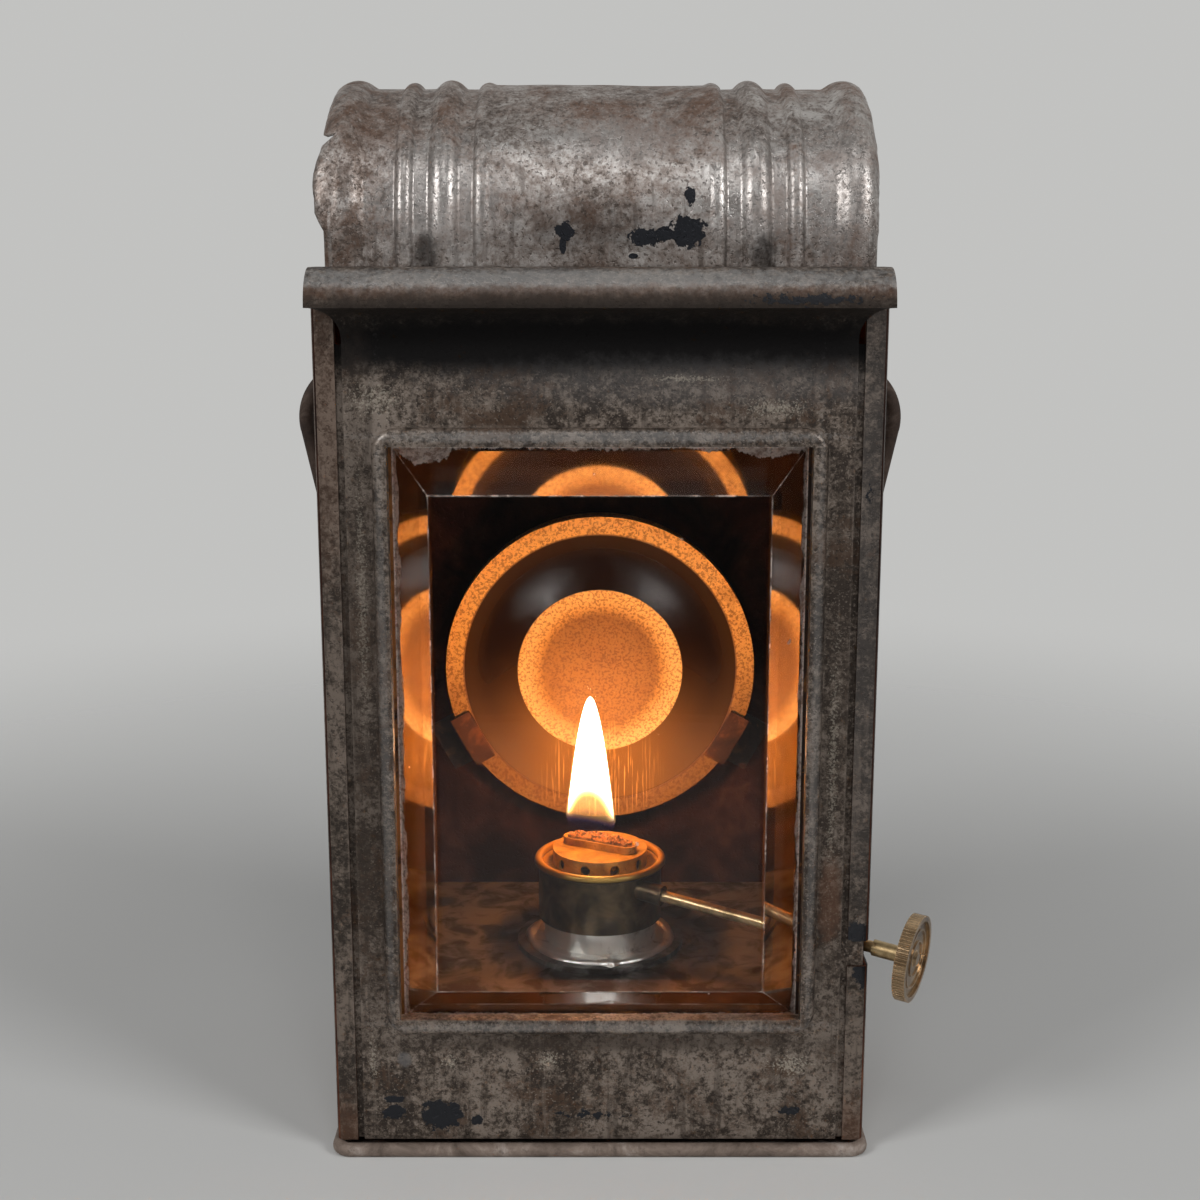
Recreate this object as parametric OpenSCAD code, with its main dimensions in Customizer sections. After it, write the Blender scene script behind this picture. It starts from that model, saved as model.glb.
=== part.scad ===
// Oil hand lantern: a tinned body whose glazed front lifts in folded channels, a ribbed barrel
// hood, a flat-wick burner on a fount that draws out forwards, and two folding wire handles.
// Millimetres. The origin is on the table under the middle of the body, +Z is up and the
// front faces -Y. A depth is measured backwards from the front face of the folded strips.

/* [Body] */
// Outside width of the body
body_w = 110; // [98:1:124]
// Outside depth of the body, folded strips to back wall
body_d = 76; // [74:1:90]
// Height of the walls' top edge above the table
wall_h = 180.8; // [166:0.1:200]
// Thickness of the tinned sheet
sheet = 0.6; // [0.5:0.05:0.8]
// Outside radius of the body's folded corners
fold_r = 1.6; // [1.2:0.1:3]
// Width of the strips folded in along the front edges
strip_w = 4.4; // [3.8:0.1:5]
// Running gap on each face of a sliding sheet
slide_gap = 0.3; // [0.2:0.05:0.4]
// Length of the guide angles that is left behind the spindle's notch
guide_behind = 2.2; // [1.5:0.1:6]

/* [Base] */
// Thickness of the base plate
base_t = 0.8; // [0.6:0.1:1.2]
// Radius of the rolled bead round the base
bead_r = 1.4; // [1:0.1:2]
// Depth to which the bead is flattened where it stands
bead_flat = 0.1; // [0.05:0.05:0.3]
// Overhang of the base in front of the strips
base_front = 3; // [2:0.1:5]
// Overhang of the base at the sides and the back
base_side = 1; // [0.6:0.1:2]
// Corner radius of the base
base_r = 4; // [3:0.5:8]
// Height of the edge turned up inside the walls
base_lip = 6; // [4:0.5:9]

/* [Front slide] */
// Gap between each strip and the raised field of the slide
field_gap = 1.4; // [1:0.1:2]
// Gap between the slide's flat edges and the side walls
edge_gap = 0.5; // [0.3:0.1:1]
// Gap between the resting slide and the base
slide_seat = 0.2; // [0.1:0.05:0.3]
// Width of the flat field beside the pressed border
field_beside = 5.2; // [3.9:0.1:9]
// Height of the flat field above the pressed border
field_above = 15.8; // [9:0.1:24]
// Height of the window's lower edge above the table
window_z = 30.3; // [29:0.1:34]
// Depth of the edge turned back round the window
window_edge = 3; // [2:0.1:4]
// Width of the pressed border beside the window
border_side = 3; // [2.6:0.1:4]
// Width of the pressed border above and below the window
border_end = 3.6; // [3:0.1:7]
// Rise of the pressed border above the field
border_rise = 1.7; // [1.5:0.1:2]
// Radius of the pressed border's outer edge
border_round = 1.4; // [0.85:0.05:1.5]
// Outer corner radius of the pressed border
border_r = 5; // [3:0.5:8]
// Radius of the cove under the finger lip
cove_r = 7; // [5:0.1:9]
// Radius of the finger lip's rounded top
lip_r = 7.4; // [6:0.1:9]
// Rise of the finger lip above the walls
lip_rise = 1.1; // [0.9:0.1:2]

/* [Glass] */
// Lap of the pane behind each side of the window
glass_lap = 1.4; // [1:0.1:1.8]
// Lap of the pane above the window
glass_lap_top = 0.6; // [0.2:0.1:2]
// Lap of the pane below the window
glass_lap_foot = 4.2; // [2:0.1:4.6]
// Width of the flat land round the pane
land_w = 1.7; // [1.4:0.1:2]
// Width of the ground bevels at the pane's sides
bevel_side = 7.4; // [6:0.1:10]
// Width of the ground bevels at the pane's top and foot
bevel_end = 8.4; // [6:0.1:10]
// Depth of the ground bevels
bevel_d = 7.8; // [6:0.1:8.4]
// Thickness of the pane's rim
rim_t = 1.6; // [1.2:0.1:2.2]
// How far the pane's face stands in front of the strips
glass_proud = 1; // [0.5:0.1:1.4]
// Gap between the pane's rim and its groove
groove_gap = 0.1; // [0.05:0.05:0.2]
// Thickness of the glass frame's sheet
groove_t = 0.5; // [0.4:0.05:0.6]
// Width of the flange that joins the glass frame to the slide
frame_flange = 2.6; // [2:0.1:2.8]

/* [Hood] */
// Gap between the raised slide's back and the hood
hood_gap = 0.9; // [0.6:0.1:2]
// Thickness of the hood's sheet
hood_t = 0.7; // [0.5:0.05:0.9]
// Height of the hood's straight skirt
hood_skirt = 6; // [3:0.1:8]
// Gap between the hood's ends and the outside of the side walls
hood_inset = 0; // [0:0.1:2]
// Rise of the middle barrel above the bands between the ribs
barrel_rise = 0.9; // [0.7:0.1:1.2]
// Distance of the barrel's narrow ribs from the hood's ends
barrel_in = 32; // [30:0.1:36]
// Distance of the broad ribs from the hood's ends
broad_rib_in = 24.5; // [23:0.1:26]
// Distance of the outer narrow ribs from the hood's ends
outer_rib_in = 16.8; // [15:0.1:18]
// Radius and rise of the narrow ribs
narrow_rib = [1.8, 1.3]; // [1.2:0.1:2]
// Radius and rise of the broad ribs
broad_rib = [3.3, 1.7]; // [1.6:0.1:3.6]
// Radius and rise of the beads rolled over the hood's ends
end_bead = [5, 1.7]; // [1.6:0.1:5.4]
// Distance of the end plates from the hood's ends
end_plate_in = 10; // [9.5:0.5:12]
// Radius of the end plates' vent holes
vent_r = 2.6; // [2:0.1:3]
// Number of vent holes round each end plate
vent_count = 7; // [5:1:8]
// Radius of the flue's opening
flue_r = 22; // [16:0.5:24]
// Height of the collar round the flue
flue_collar = 5; // [3:0.5:8]
// Height of the smoke baffle above the flue plate
baffle_rise = 15; // [12:0.5:18]
// Width and depth of the smoke baffle
baffle_size = [66, 40]; // [36:1:70]
// Radius of the baffle's legs
leg_r = 1.2; // [0.8:0.1:2]

/* [Reflector] */
// Diameter of the reflector
reflector_d = 73; // [60:1:80]
// Height of the reflector's middle above the table
reflector_z = 87.8; // [84:0.1:100]
// Width of the reflector's flat rim
reflector_rim = 4.3; // [3.6:0.1:7]
// Radius of the reflector's flat middle
reflector_mid = 19.4; // [14:0.1:22]
// Height of the reflector's rim above the back wall
reflector_h = 6.6; // [5:0.1:8]
// Height of the reflector's middle above its rim
reflector_rise = 1.5; // [0.8:0.1:2.4]
// Width of the reflector clips
clip_w = 12.5; // [6:0.5:14]
// Angle of the clips below the reflector's middle
clip_angle = 29; // [15:1:45]
// Length of the clips' feet on the wall
clip_foot = 7; // [5:0.5:9]

/* [Fount] */
// Height of the fount's top above the table
fount_top_z = 32.5; // [28:0.1:34]
// Gap between the fount and the guides beside it
fount_gap = 1.6; // [1:0.1:4]
// Gap between the fount and the slide in front of it
fount_front_gap = 1.2; // [0.8:0.1:6]
// Gap between the fount and the base edge turned up behind it
fount_back_gap = 0.5; // [0.3:0.1:3]
// Corner radius of the fount
fount_r = 6; // [4:0.5:12]
// Radius of the raised boss on the fount
boss_r = 18.5; // [17:0.5:24]
// Rise of the boss
boss_rise = 1.2; // [0.8:0.1:2]
// Inside radius of the collar
collar_r = 11; // [10.8:0.1:12]
// Wall of the collar
collar_wall = 1.5; // [1:0.1:2]
// Height of the collar above the boss
collar_h = 5.5; // [4:0.1:7]
// Width of the collar's foot
collar_foot = 3; // [2:0.1:4]

/* [Burner] */
// Place of the burner's axis behind the middle of the body
burner_y = 0; // [0:0.5:6]
// Outside radius of the drum
drum_r = 13.7; // [13.4:0.1:15]
// Height of the drum, floor to rolled rim
drum_h = 12.8; // [12.6:0.1:16]
// Thickness of the brass sheet
brass_t = 0.5; // [0.4:0.05:0.6]
// Radius of the drum's rolled rim
roll_r = 0.9; // [0.7:0.1:1.2]
// Radius of the raised cap
cap_r = 10.5; // [10.4:0.1:11.5]
// Height of the cap above its trough
cap_h = 3.9; // [3.2:0.1:5]
// Depth of the trough below the middle of the rolled rim
trough_drop = 0.7; // [0.5:0.1:0.8]
// Number of air holes round the cap
air_count = 10; // [6:1:14]
// Radius of the air holes
air_r = 1.1; // [0.7:0.1:1.2]
// Width of the wick
wick_w = 16; // [12:0.5:16.5]
// Thickness of the wick
wick_t = 2.8; // [2:0.1:3]
// Height of the wick above its tube
wick_show = 1.8; // [1:0.1:4]
// Gap between the wick and its tube
wick_gap = 0.4; // [0.3:0.05:0.6]
// Height of the wick tube above the cap
tube_show = 1.6; // [1:0.1:3]
// Height of the wick's lower end above the fount's floor
wick_foot = 8; // [6:0.5:12]

/* [Wick winder] */
// Diameter of the spindle
spindle_d = 2.5; // [2:0.1:2.8]
// Fall of the spindle towards its knob, in degrees
spindle_fall = 4.7; // [3:0.1:6]
// Height of the spur wheels' middle above the drum's floor
wheel_rise = 10.1; // [9.6:0.1:10.2]
// Radius of the spur wheels over their teeth
wheel_r = 2.9; // [2.4:0.1:3]
// Depth of the spur wheels' teeth
tooth_h = 0.7; // [0.4:0.1:0.8]
// Number of teeth on a spur wheel
tooth_count = 12; // [10:1:16]
// Thickness of a spur wheel
wheel_t = 1.2; // [0.8:0.1:1.6]
// Spacing of the two spur wheels
wheel_pitch = 8; // [6:0.5:8.5]
// Gap between the wheels and the wick
wheel_gap = 0.3; // [0.15:0.05:0.4]
// Running gap round the spindle in its bearings
bearing_gap = 0.05; // [0.02:0.01:0.1]
// Gap between the spindle and the glass frame's corner
corner_gap = 0.35; // [0.3:0.05:1]
// Thickness of the bearing ears on the wick tube
ear_t = 0.8; // [0.6:0.1:1]
// Wall of the bearing ears and of the bush
bearing_wall = 0.9; // [0.7:0.1:1]
// Length of the bush in the drum's side
bush_len = 6; // [4:0.5:8]
// Diameter of the hub beside the knob
hub_d = 3.4; // [3:0.1:4.4]
// Height of the notch that the spindle leaves the body by
notch_h = 5.5; // [4.5:0.1:8]
// Distance from the body's side to the knob, along the spindle
knob_out = 8.6; // [6.5:0.1:12]
// Diameter of the knob
knob_d = 18; // [14:0.5:20]
// Thickness of the knob's rim
knob_t = 2.6; // [2.2:0.1:4]
// Width of the knob's rim
knob_rim = 1.1; // [0.9:0.1:3]
// Thickness of the knob's web
knob_web = 2; // [1:0.1:2.1]
// Number of grooves round the knob
knurl_count = 72; // [36:1:80]
// Radius of the knob's grooves
knurl_r = 0.28; // [0.2:0.02:0.3]
// Radius of the rivet head on the knob
rivet_head = 1.9; // [1.6:0.1:3]

/* [Handles] */
// Diameter of the handles' wire
wire_d = 3.6; // [3:0.1:4.4]
// Distance of each hinge line from the middle
hinge_x = 26; // [22:0.5:32]
// Height of the handles' lower limb
handle_z = 90; // [84:1:96]
// Height of the handles, lower limb to upper
handle_h = 68; // [60:1:80]
// Reach of the upper limb from the hinge line
reach_top = 46.5; // [40:0.5:52]
// Reach of the lower limb from the hinge line
reach_foot = 32; // [28:0.5:38]
// Bend radius beside the hinge line
bend_hinge = 6; // [5:0.5:8]
// Bend radius of the upper outer corner
bend_top = 12; // [8:0.5:16]
// Bend radius of the lower outer corner
bend_foot = 9; // [6:0.5:12]
// Thickness of the handle plate
plate_t = 0.8; // [0.6:0.1:1.2]
// Running gap round the wire in its knuckles
knuckle_gap = 0.08; // [0.03:0.01:0.1]
// Gap between the knuckles and the back wall
knuckle_rise = 0.15; // [0.1:0.05:0.3]
// Length of the handle plate and its knuckles
plate_h = 48; // [36:1:50]
// Radius of the plate rivets' shanks
shank_r = 1.2; // [0.8:0.1:1.6]
// Radius of the plate rivets' heads
head_r = 2.4; // [2:0.1:3]
// Height of the plate rivets' heads
head_h = 0.8; // [0.5:0.05:0.8]
// Distance of the rivets from the plate's edges
rivet_in = 6; // [5:0.5:9]

/* [Hidden] */
$fn = 64;
// Overcut that keeps cutting faces off the faces they cut
over = 1;

// Colours, as the aged lantern shows them
tin_grey = "#6b655f";
tin_dark = "#57504b";
tin_brown = "#6a5548";
rust_brown = "#5d4435";
bright_tin = "#9c9a96";
old_brass = "#8a6a3c";
glass_tint = [0.75, 0.8, 0.78, 0.35];
wick_cream = "#b9a482";

// Body
half_w = body_w / 2;
y_front = -body_d / 2;
y_back = body_d / 2;
wall_in = half_w - sheet;
y_wall = y_back - sheet;
bead_z = bead_r - bead_flat;
shell_z = bead_z + bead_r;
guide_z = base_t + base_lip + slide_seat;

// Slide: depths of its layers and heights of its lip
flange_d = sheet + slide_gap;
flange_back = flange_d + sheet;
guide_d = flange_back + slide_gap;
field_half = half_w - strip_w - field_gap;
flange_half = wall_in - edge_gap;
slide_z = shell_z + slide_seat;
lip_top = wall_h + lip_rise;
nose_z = lip_top - lip_r;
cove_z = nose_z - cove_r;
flare_r = half_w - field_half;
window_w = 2 * (field_half - field_beside - border_side);
window_top = cove_z - field_above - border_end;
window_h = window_top - window_z;

// Glass
glass_half = window_w / 2 + glass_lap;
glass_z = window_z - glass_lap_foot;
glass_top = window_top + glass_lap_top;
land_d = bevel_d - glass_proud;
glass_back = land_d + rim_t;
frame_half = glass_half + groove_gap + groove_t;
frame_z = glass_z - groove_gap - groove_t;
frame_top = glass_top + groove_gap + groove_t;
frame_back = glass_back + groove_gap + groove_t;
lip_lap = land_w - 3 * groove_gap;

// Hood
hood_d = frame_back + hood_gap;
hood_reach = (y_back - slide_gap - (y_front + hood_d)) / 2;
hood_y = y_back - slide_gap - hood_reach;
hood_z = wall_h + hood_skirt;
band_r = hood_reach - broad_rib[1];
hood_half = half_w - hood_inset;
barrel_half = hood_half - barrel_in;
end_bead_x = hood_half - end_bead[0];
end_plate_x = hood_half - end_plate_in;
end_plate_r = band_r - hood_t - groove_gap;
flue_d = frame_back + hood_gap - slide_gap;

// Reflector
reflector_r = reflector_d / 2;
rim_inner = reflector_r - reflector_rim;
slope_w = rim_inner - reflector_mid;
slope_r = (slope_w * slope_w + reflector_rise * reflector_rise) / (2 * reflector_rise);
middle_top = reflector_h + reflector_rise;

// Fount and burner
fount_half = half_w - strip_w - fount_gap;
fount_y0 = y_front + frame_back + fount_front_gap;
fount_y1 = y_wall - sheet - fount_back_gap;
fount_w = 2 * fount_half;
fount_d = fount_y1 - fount_y0;
fount_y = (fount_y0 + fount_y1) / 2;
boss_z = fount_top_z + boss_rise;
drum_z = boss_z + collar_h;
rim_z = drum_z + drum_h;
trough_z = rim_z - trough_drop;
cap_z = trough_z + cap_h - brass_t;
tube_top = cap_z + tube_show;
tube_z = fount_top_z - 2 * sheet;
tube_w = wick_w + 2 * wick_gap + 2 * brass_t;
tube_t = wick_t + 2 * wick_gap + 2 * brass_t;
wick_z = base_t + sheet + wick_foot;
plug_r = collar_r - 2 * bearing_gap;

// Spindle: it runs past the front of the wick and just behind the glass frame's corner
spindle_r = spindle_d / 2;
offset_wick = wick_t / 2 + wheel_gap + wheel_r;
corner_x = frame_half;
corner_back = burner_y - (y_front + frame_back);
corner_far = norm([corner_x, corner_back]);
heading = acos((offset_wick + spindle_r + corner_gap) / corner_far) - atan2(corner_x, corner_back);
wheel_z = drum_z + wheel_rise;
wheel_x = -offset_wick * sin(heading);
wheel_y = burner_y - offset_wick * cos(heading);
to_wall = (half_w - wheel_x) / (cos(heading) * cos(spindle_fall));
exit_y = wheel_y - (half_w - wheel_x) * tan(heading);
exit_z = wheel_z - to_wall * sin(spindle_fall);
notch_y = exit_y + (spindle_r + 2 * slide_gap) / cos(heading);
guide_leg = notch_y - y_front - guide_d + guide_behind;
knob_s = to_wall + knob_out;
ear_s = wheel_pitch / 2 + wheel_t / 2 + 2 * wheel_gap;
bearing_r = spindle_r + bearing_gap;
bush_r = bearing_r + bearing_wall;
bush_s = drum_r - bush_len / 3;

// Handles
knuckle_in = wire_d / 2 + knuckle_gap;
knuckle_out = knuckle_in + plate_t;
hinge_y = y_back + knuckle_rise + knuckle_out;
plate_z = handle_z + (handle_h - plate_h) / 2;
rivet_x = hinge_x - knuckle_out - rivet_in;
// Swelling of the wire in its bends, and the lap of the straight limbs into them
bend_swell = 0.05;
limb_lap = 0.3;

// Rectangle with rounded corners, centred
module round_rect(w, d, r) {
    square([w - 2 * r, d], center = true);
    square([w, d - 2 * r], center = true);
    for (x = [-1, 1], y = [-1, 1])
        translate([x * (w / 2 - r), y * (d / 2 - r)]) circle(r);
}

// Oblong with round ends, lying along X
module oblong(length, width) {
    square([length - width, width], center = true);
    for (x = [-1, 1])
        translate([x * (length - width) / 2, 0]) circle(width / 2);
}

// A front-view outline, in X and Z, given thickness between two depths
module through(d0, d1) {
    translate([0, y_front + d1, 0]) rotate([90, 0, 0]) linear_extrude(d1 - d0) children();
}

// A side-view outline, in depth and Z, run across the lantern
module across(length) {
    translate([-length / 2, y_front, 0]) rotate([90, 0, 90]) linear_extrude(length) children();
}

// Quarter of a ring in the first quadrant
module quarter_ring(r_in, r_out) {
    intersection() {
        difference() {
            circle(r_out);
            circle(r_in);
        }
        square(r_out);
    }
}

// Front view of the window, grown on every side
module window_face(grow) {
    translate([-window_w / 2 - grow, window_z - grow])
        square([window_w + 2 * grow, window_h + 2 * grow]);
}

// Front view of the glass frame's outline, drawn in on every side
module frame_face(inset) {
    translate([-frame_half + inset, frame_z + inset])
        square([2 * (frame_half - inset), frame_top - frame_z - 2 * inset]);
}

// Frame whose X axis is the spindle's, from the spur wheels outwards
module on_spindle(s) {
    translate([wheel_x, wheel_y, wheel_z])
        rotate([0, 0, -heading]) rotate([0, spindle_fall, 0]) translate([s, 0, 0]) children();
}

// Round bar along the spindle's axis
module spindle_bar(s0, s1, r) {
    on_spindle(s0) rotate([0, 90, 0]) cylinder(h = s1 - s0, r = r);
}

// The gap in the right front corner that the spindle lies in, open to the front
module spindle_notch() {
    translate([half_w - strip_w, y_front - over, exit_z - notch_h / 2])
        cube([strip_w + over, notch_y - y_front + over, notch_h]);
}

// Plan of the space inside the walls, drawn in on every side
module inside_plan(inset) {
    round_rect(2 * (wall_in - inset), body_d - 2 * (sheet + inset), fold_r - sheet);
}

// Back and side walls and the front strips, folded from one sheet
module body_shell() {
    color(tin_grey) difference() {
        translate([0, 0, shell_z]) linear_extrude(wall_h - shell_z) difference() {
            round_rect(body_w, body_d, fold_r);
            inside_plan(0);
            translate([-half_w + strip_w, y_front - over])
                square([body_w - 2 * strip_w, body_d / 2]);
        }
        spindle_notch();
        plate_rivet_places() translate([0, -sheet - over, 0]) rotate([-90, 0, 0])
            cylinder(h = sheet + 2 * over, r = shank_r);
    }
}

// Run of the rolled bead round the base, at the middle of its wire
module base_bead(w, d, r) {
    for (x = [-1, 1])
        translate([x * w / 2, d / 2 - r, 0]) rotate([90, 0, 0])
            cylinder(h = d - 2 * r, r = bead_r);
    for (y = [-1, 1])
        translate([-w / 2 + r, y * d / 2, 0]) rotate([0, 90, 0])
            cylinder(h = w - 2 * r, r = bead_r);
    for (turn = [0, 1, 2, 3])
        translate([(turn == 0 || turn == 3 ? 1 : -1) * (w / 2 - r), (turn < 2 ? 1 : -1) * (d / 2 - r), 0])
            rotate([0, 0, 90 * turn]) rotate_extrude(angle = 90) translate([r, 0]) circle(bead_r);
}

// Bottom of the lantern: plate, rolled bead and the edge turned up inside the walls
module base_plate() {
    base_w = body_w + 2 * base_side;
    base_d = body_d + base_front + base_side;
    base_y = (base_side - base_front) / 2;
    color(rust_brown) {
        difference() {
            translate([0, base_y, 0]) {
                translate([0, 0, bead_z])
                    base_bead(base_w - 2 * bead_r, base_d - 2 * bead_r, base_r - bead_r);
                linear_extrude(base_t)
                    round_rect(base_w - 2 * bead_r, base_d - 2 * bead_r, base_r - bead_r);
            }
            translate([-base_w, -base_d, -bead_r]) cube([2 * base_w, 2 * base_d, bead_r]);
        }
        linear_extrude(base_t + base_lip) difference() {
            inside_plan(0);
            inside_plan(sheet);
            translate([-half_w, y_front - over]) square([body_w, guide_d + slide_gap + over]);
        }
    }
}

// Angle behind the slide's flat edge on one side, soldered to the side wall
module slide_guide(side) {
    color(tin_dark) difference() {
        translate([0, 0, guide_z]) linear_extrude(wall_h - guide_z) mirror([side < 0 ? 1 : 0, 0]) {
            translate([half_w - strip_w, y_front + guide_d]) square([strip_w - sheet, sheet]);
            translate([wall_in - sheet, y_front + guide_d]) square([sheet, guide_leg]);
        }
        spindle_notch();
    }
}

// Plate that closes the lamp chamber under the hood, with the flue's collar
module flue_plate() {
    front_y = y_front + flue_d;
    drop = hood_skirt + sheet;
    color(tin_dark) {
        translate([0, 0, wall_h - sheet]) linear_extrude(sheet) difference() {
            inside_plan(0);
            translate([-body_w, front_y - body_d]) square([2 * body_w, body_d]);
            translate([0, hood_y]) circle(flue_r);
        }
        translate([-wall_in + guide_leg, front_y, wall_h - drop])
            cube([2 * (wall_in - guide_leg), sheet, drop]);
        translate([0, hood_y, wall_h - sheet]) linear_extrude(flue_collar + sheet) difference() {
            circle(flue_r);
            circle(flue_r - sheet);
        }
    }
}

// Plate on four legs that keeps rain off the flame
module smoke_baffle() {
    color(tin_dark) translate([0, hood_y, wall_h]) {
        translate([0, 0, baffle_rise]) linear_extrude(sheet)
            round_rect(baffle_size[0], baffle_size[1], 2 * leg_r);
        for (x = [-1, 1], y = [-1, 1])
            translate([x * (baffle_size[0] / 2 - 2 * leg_r), y * (baffle_size[1] / 2 - 2 * leg_r), 0])
                cylinder(h = baffle_rise, r = leg_r);
    }
}

// Half section of the hood from its axis outwards, radius along X, drawn in by the sheet
module hood_section(inset) {
    length = inset > 0 ? hood_half + over : end_bead_x;
    ribs = [
        [barrel_half, narrow_rib], [hood_half - broad_rib_in, broad_rib],
        [hood_half - outer_rib_in, narrow_rib], [end_bead_x, end_bead]
    ];
    translate([0, -end_bead_x]) square([band_r - inset, 2 * end_bead_x]);
    translate([0, -length]) square([band_r + end_bead[1] - end_bead[0], 2 * length]);
    translate([0, -barrel_half]) square([band_r + barrel_rise - inset, 2 * barrel_half]);
    for (rib = ribs, end = [-1, 1])
        translate([band_r + rib[1][1] - rib[1][0], end * rib[0]]) circle(rib[1][0] - inset);
}

// Barrel hood with its pressed ribs and end beads
module hood() {
    color(tin_brown) translate([0, hood_y, hood_z]) {
        rotate([90, 0, 90]) rotate_extrude(angle = 180) difference() {
            hood_section(0);
            hood_section(hood_t);
        }
        for (turn = [90, -90])
            translate([0, 0, -hood_skirt]) rotate([0, 0, turn]) linear_extrude(hood_skirt) difference() {
                hood_section(0);
                hood_section(hood_t);
            }
    }
}

// Half-round plate in one end of the hood, with a row of vents and one in the middle
module hood_end(side) {
    color(tin_dark) translate([side * end_plate_x - sheet / 2, hood_y, hood_z])
        rotate([90, 0, 90]) linear_extrude(sheet) difference() {
            union() {
                intersection() {
                    circle(end_plate_r);
                    translate([-end_plate_r, 0]) square([2 * end_plate_r, end_plate_r]);
                }
                translate([-end_plate_r, -hood_skirt]) square([2 * end_plate_r, hood_skirt]);
            }
            for (i = [0 : vent_count - 1])
                rotate((i + 0.5) * 180 / vent_count) translate([end_plate_r * 0.72, 0]) circle(vent_r);
            for (i = [0 : 2])
                rotate((i + 0.5) * 60) translate([end_plate_r * 0.36, 0]) circle(vent_r);
        }
}

// Reflector: a flat rim, and a flared slope up to a flat middle
module reflector() {
    color(bright_tin) translate([0, y_wall, reflector_z]) rotate([90, 0, 0]) rotate_extrude() {
        translate([0, middle_top - sheet]) square([reflector_mid, sheet]);
        intersection() {
            translate([rim_inner, reflector_h + slope_r]) difference() {
                circle(slope_r + sheet);
                circle(slope_r);
            }
            translate([reflector_mid - sheet, 0]) square([slope_w + sheet, middle_top]);
        }
        translate([rim_inner, reflector_h - sheet]) square([reflector_rim, sheet]);
        translate([reflector_r - sheet, 0]) square([sheet, reflector_h]);
    }
}

// Folded clip over the reflector's rim, at an angle in the front view
module reflector_clip(angle) {
    hook_y = reflector_h + groove_gap;
    riser_x = reflector_r + groove_gap;
    color(tin_dark) translate([0, y_wall, reflector_z]) rotate([0, -angle, 0])
        translate([0, 0, -clip_w / 2]) {
            translate([riser_x, -sheet, 0]) cube([clip_foot, sheet, clip_w]);
            translate([riser_x, -hook_y - sheet, 0]) cube([sheet, hook_y + sheet, clip_w]);
            translate([rim_inner, -hook_y - sheet, 0])
                cube([reflector_rim + groove_gap + sheet, sheet, clip_w]);
        }
}

// Oil tank under the fount's top
module fount_tank() {
    color(tin_dark) translate([0, fount_y, base_t]) difference() {
        linear_extrude(fount_top_z - sheet - base_t) round_rect(fount_w, fount_d, fount_r);
        translate([0, 0, sheet]) linear_extrude(fount_top_z)
            round_rect(fount_w - 2 * sheet, fount_d - 2 * sheet, fount_r - sheet);
    }
}

// Top of the fount, with the raised boss that the collar stands on
module fount_top() {
    color(tin_grey) {
        translate([0, 0, fount_top_z - sheet]) linear_extrude(sheet) difference() {
            translate([0, fount_y]) round_rect(fount_w, fount_d, fount_r);
            translate([0, burner_y]) circle(boss_r - sheet);
        }
        translate([0, burner_y, 0]) rotate_extrude() {
            translate([boss_r - sheet, fount_top_z - sheet]) square([sheet, boss_rise + sheet]);
            translate([collar_r, boss_z - sheet]) square([boss_r - collar_r, sheet]);
        }
    }
}

// Collar that the burner screws into
module fount_collar() {
    color(bright_tin) translate([0, burner_y, boss_z]) rotate_extrude() {
        translate([collar_r, 0]) square([collar_wall, collar_h]);
        translate([collar_r, 0]) square([collar_wall + collar_foot, sheet]);
    }
}

// Plan of the wick tube, grown on every side, turned to the spindle's heading
module tube_plan(grow) {
    translate([0, burner_y]) rotate(-heading) oblong(tube_w + 2 * grow, tube_t + 2 * grow);
}

// Plug under the burner, inside the collar
module burner_plug() {
    color(old_brass) translate([0, 0, boss_z]) linear_extrude(collar_h) difference() {
        translate([0, burner_y]) circle(plug_r);
        tube_plan(bearing_gap);
    }
}

// Drum of the burner, with its floor and its rolled rim
module burner_drum() {
    color(old_brass) difference() {
        translate([0, burner_y, 0]) rotate_extrude() {
            translate([drum_r - brass_t, drum_z]) square([brass_t, drum_h]);
            translate([0, drum_z]) square([drum_r, brass_t]);
            translate([drum_r, rim_z]) circle(roll_r);
        }
        translate([0, 0, drum_z - over]) linear_extrude(brass_t + 2 * over) tube_plan(bearing_gap);
        spindle_bar(bush_s - over, bush_s + bush_len, bush_r);
    }
}

// Cap of the burner: trough, side wall with air holes, and top
module burner_cap() {
    trough_r = drum_r - brass_t;
    color(old_brass) difference() {
        translate([0, burner_y, trough_z]) rotate_extrude() {
            translate([cap_r - brass_t, -brass_t]) square([trough_r - cap_r + brass_t, brass_t]);
            translate([cap_r - brass_t, -brass_t]) square([brass_t, cap_h]);
            translate([0, cap_h - 2 * brass_t]) square([cap_r, brass_t]);
        }
        translate([0, 0, trough_z]) linear_extrude(cap_h + over) tube_plan(bearing_gap);
        for (i = [0 : air_count - 1])
            translate([0, burner_y, trough_z + cap_h / 2 - brass_t]) rotate([0, 90, i * 360 / air_count])
                cylinder(h = cap_r + over, r = air_r);
    }
}

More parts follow.
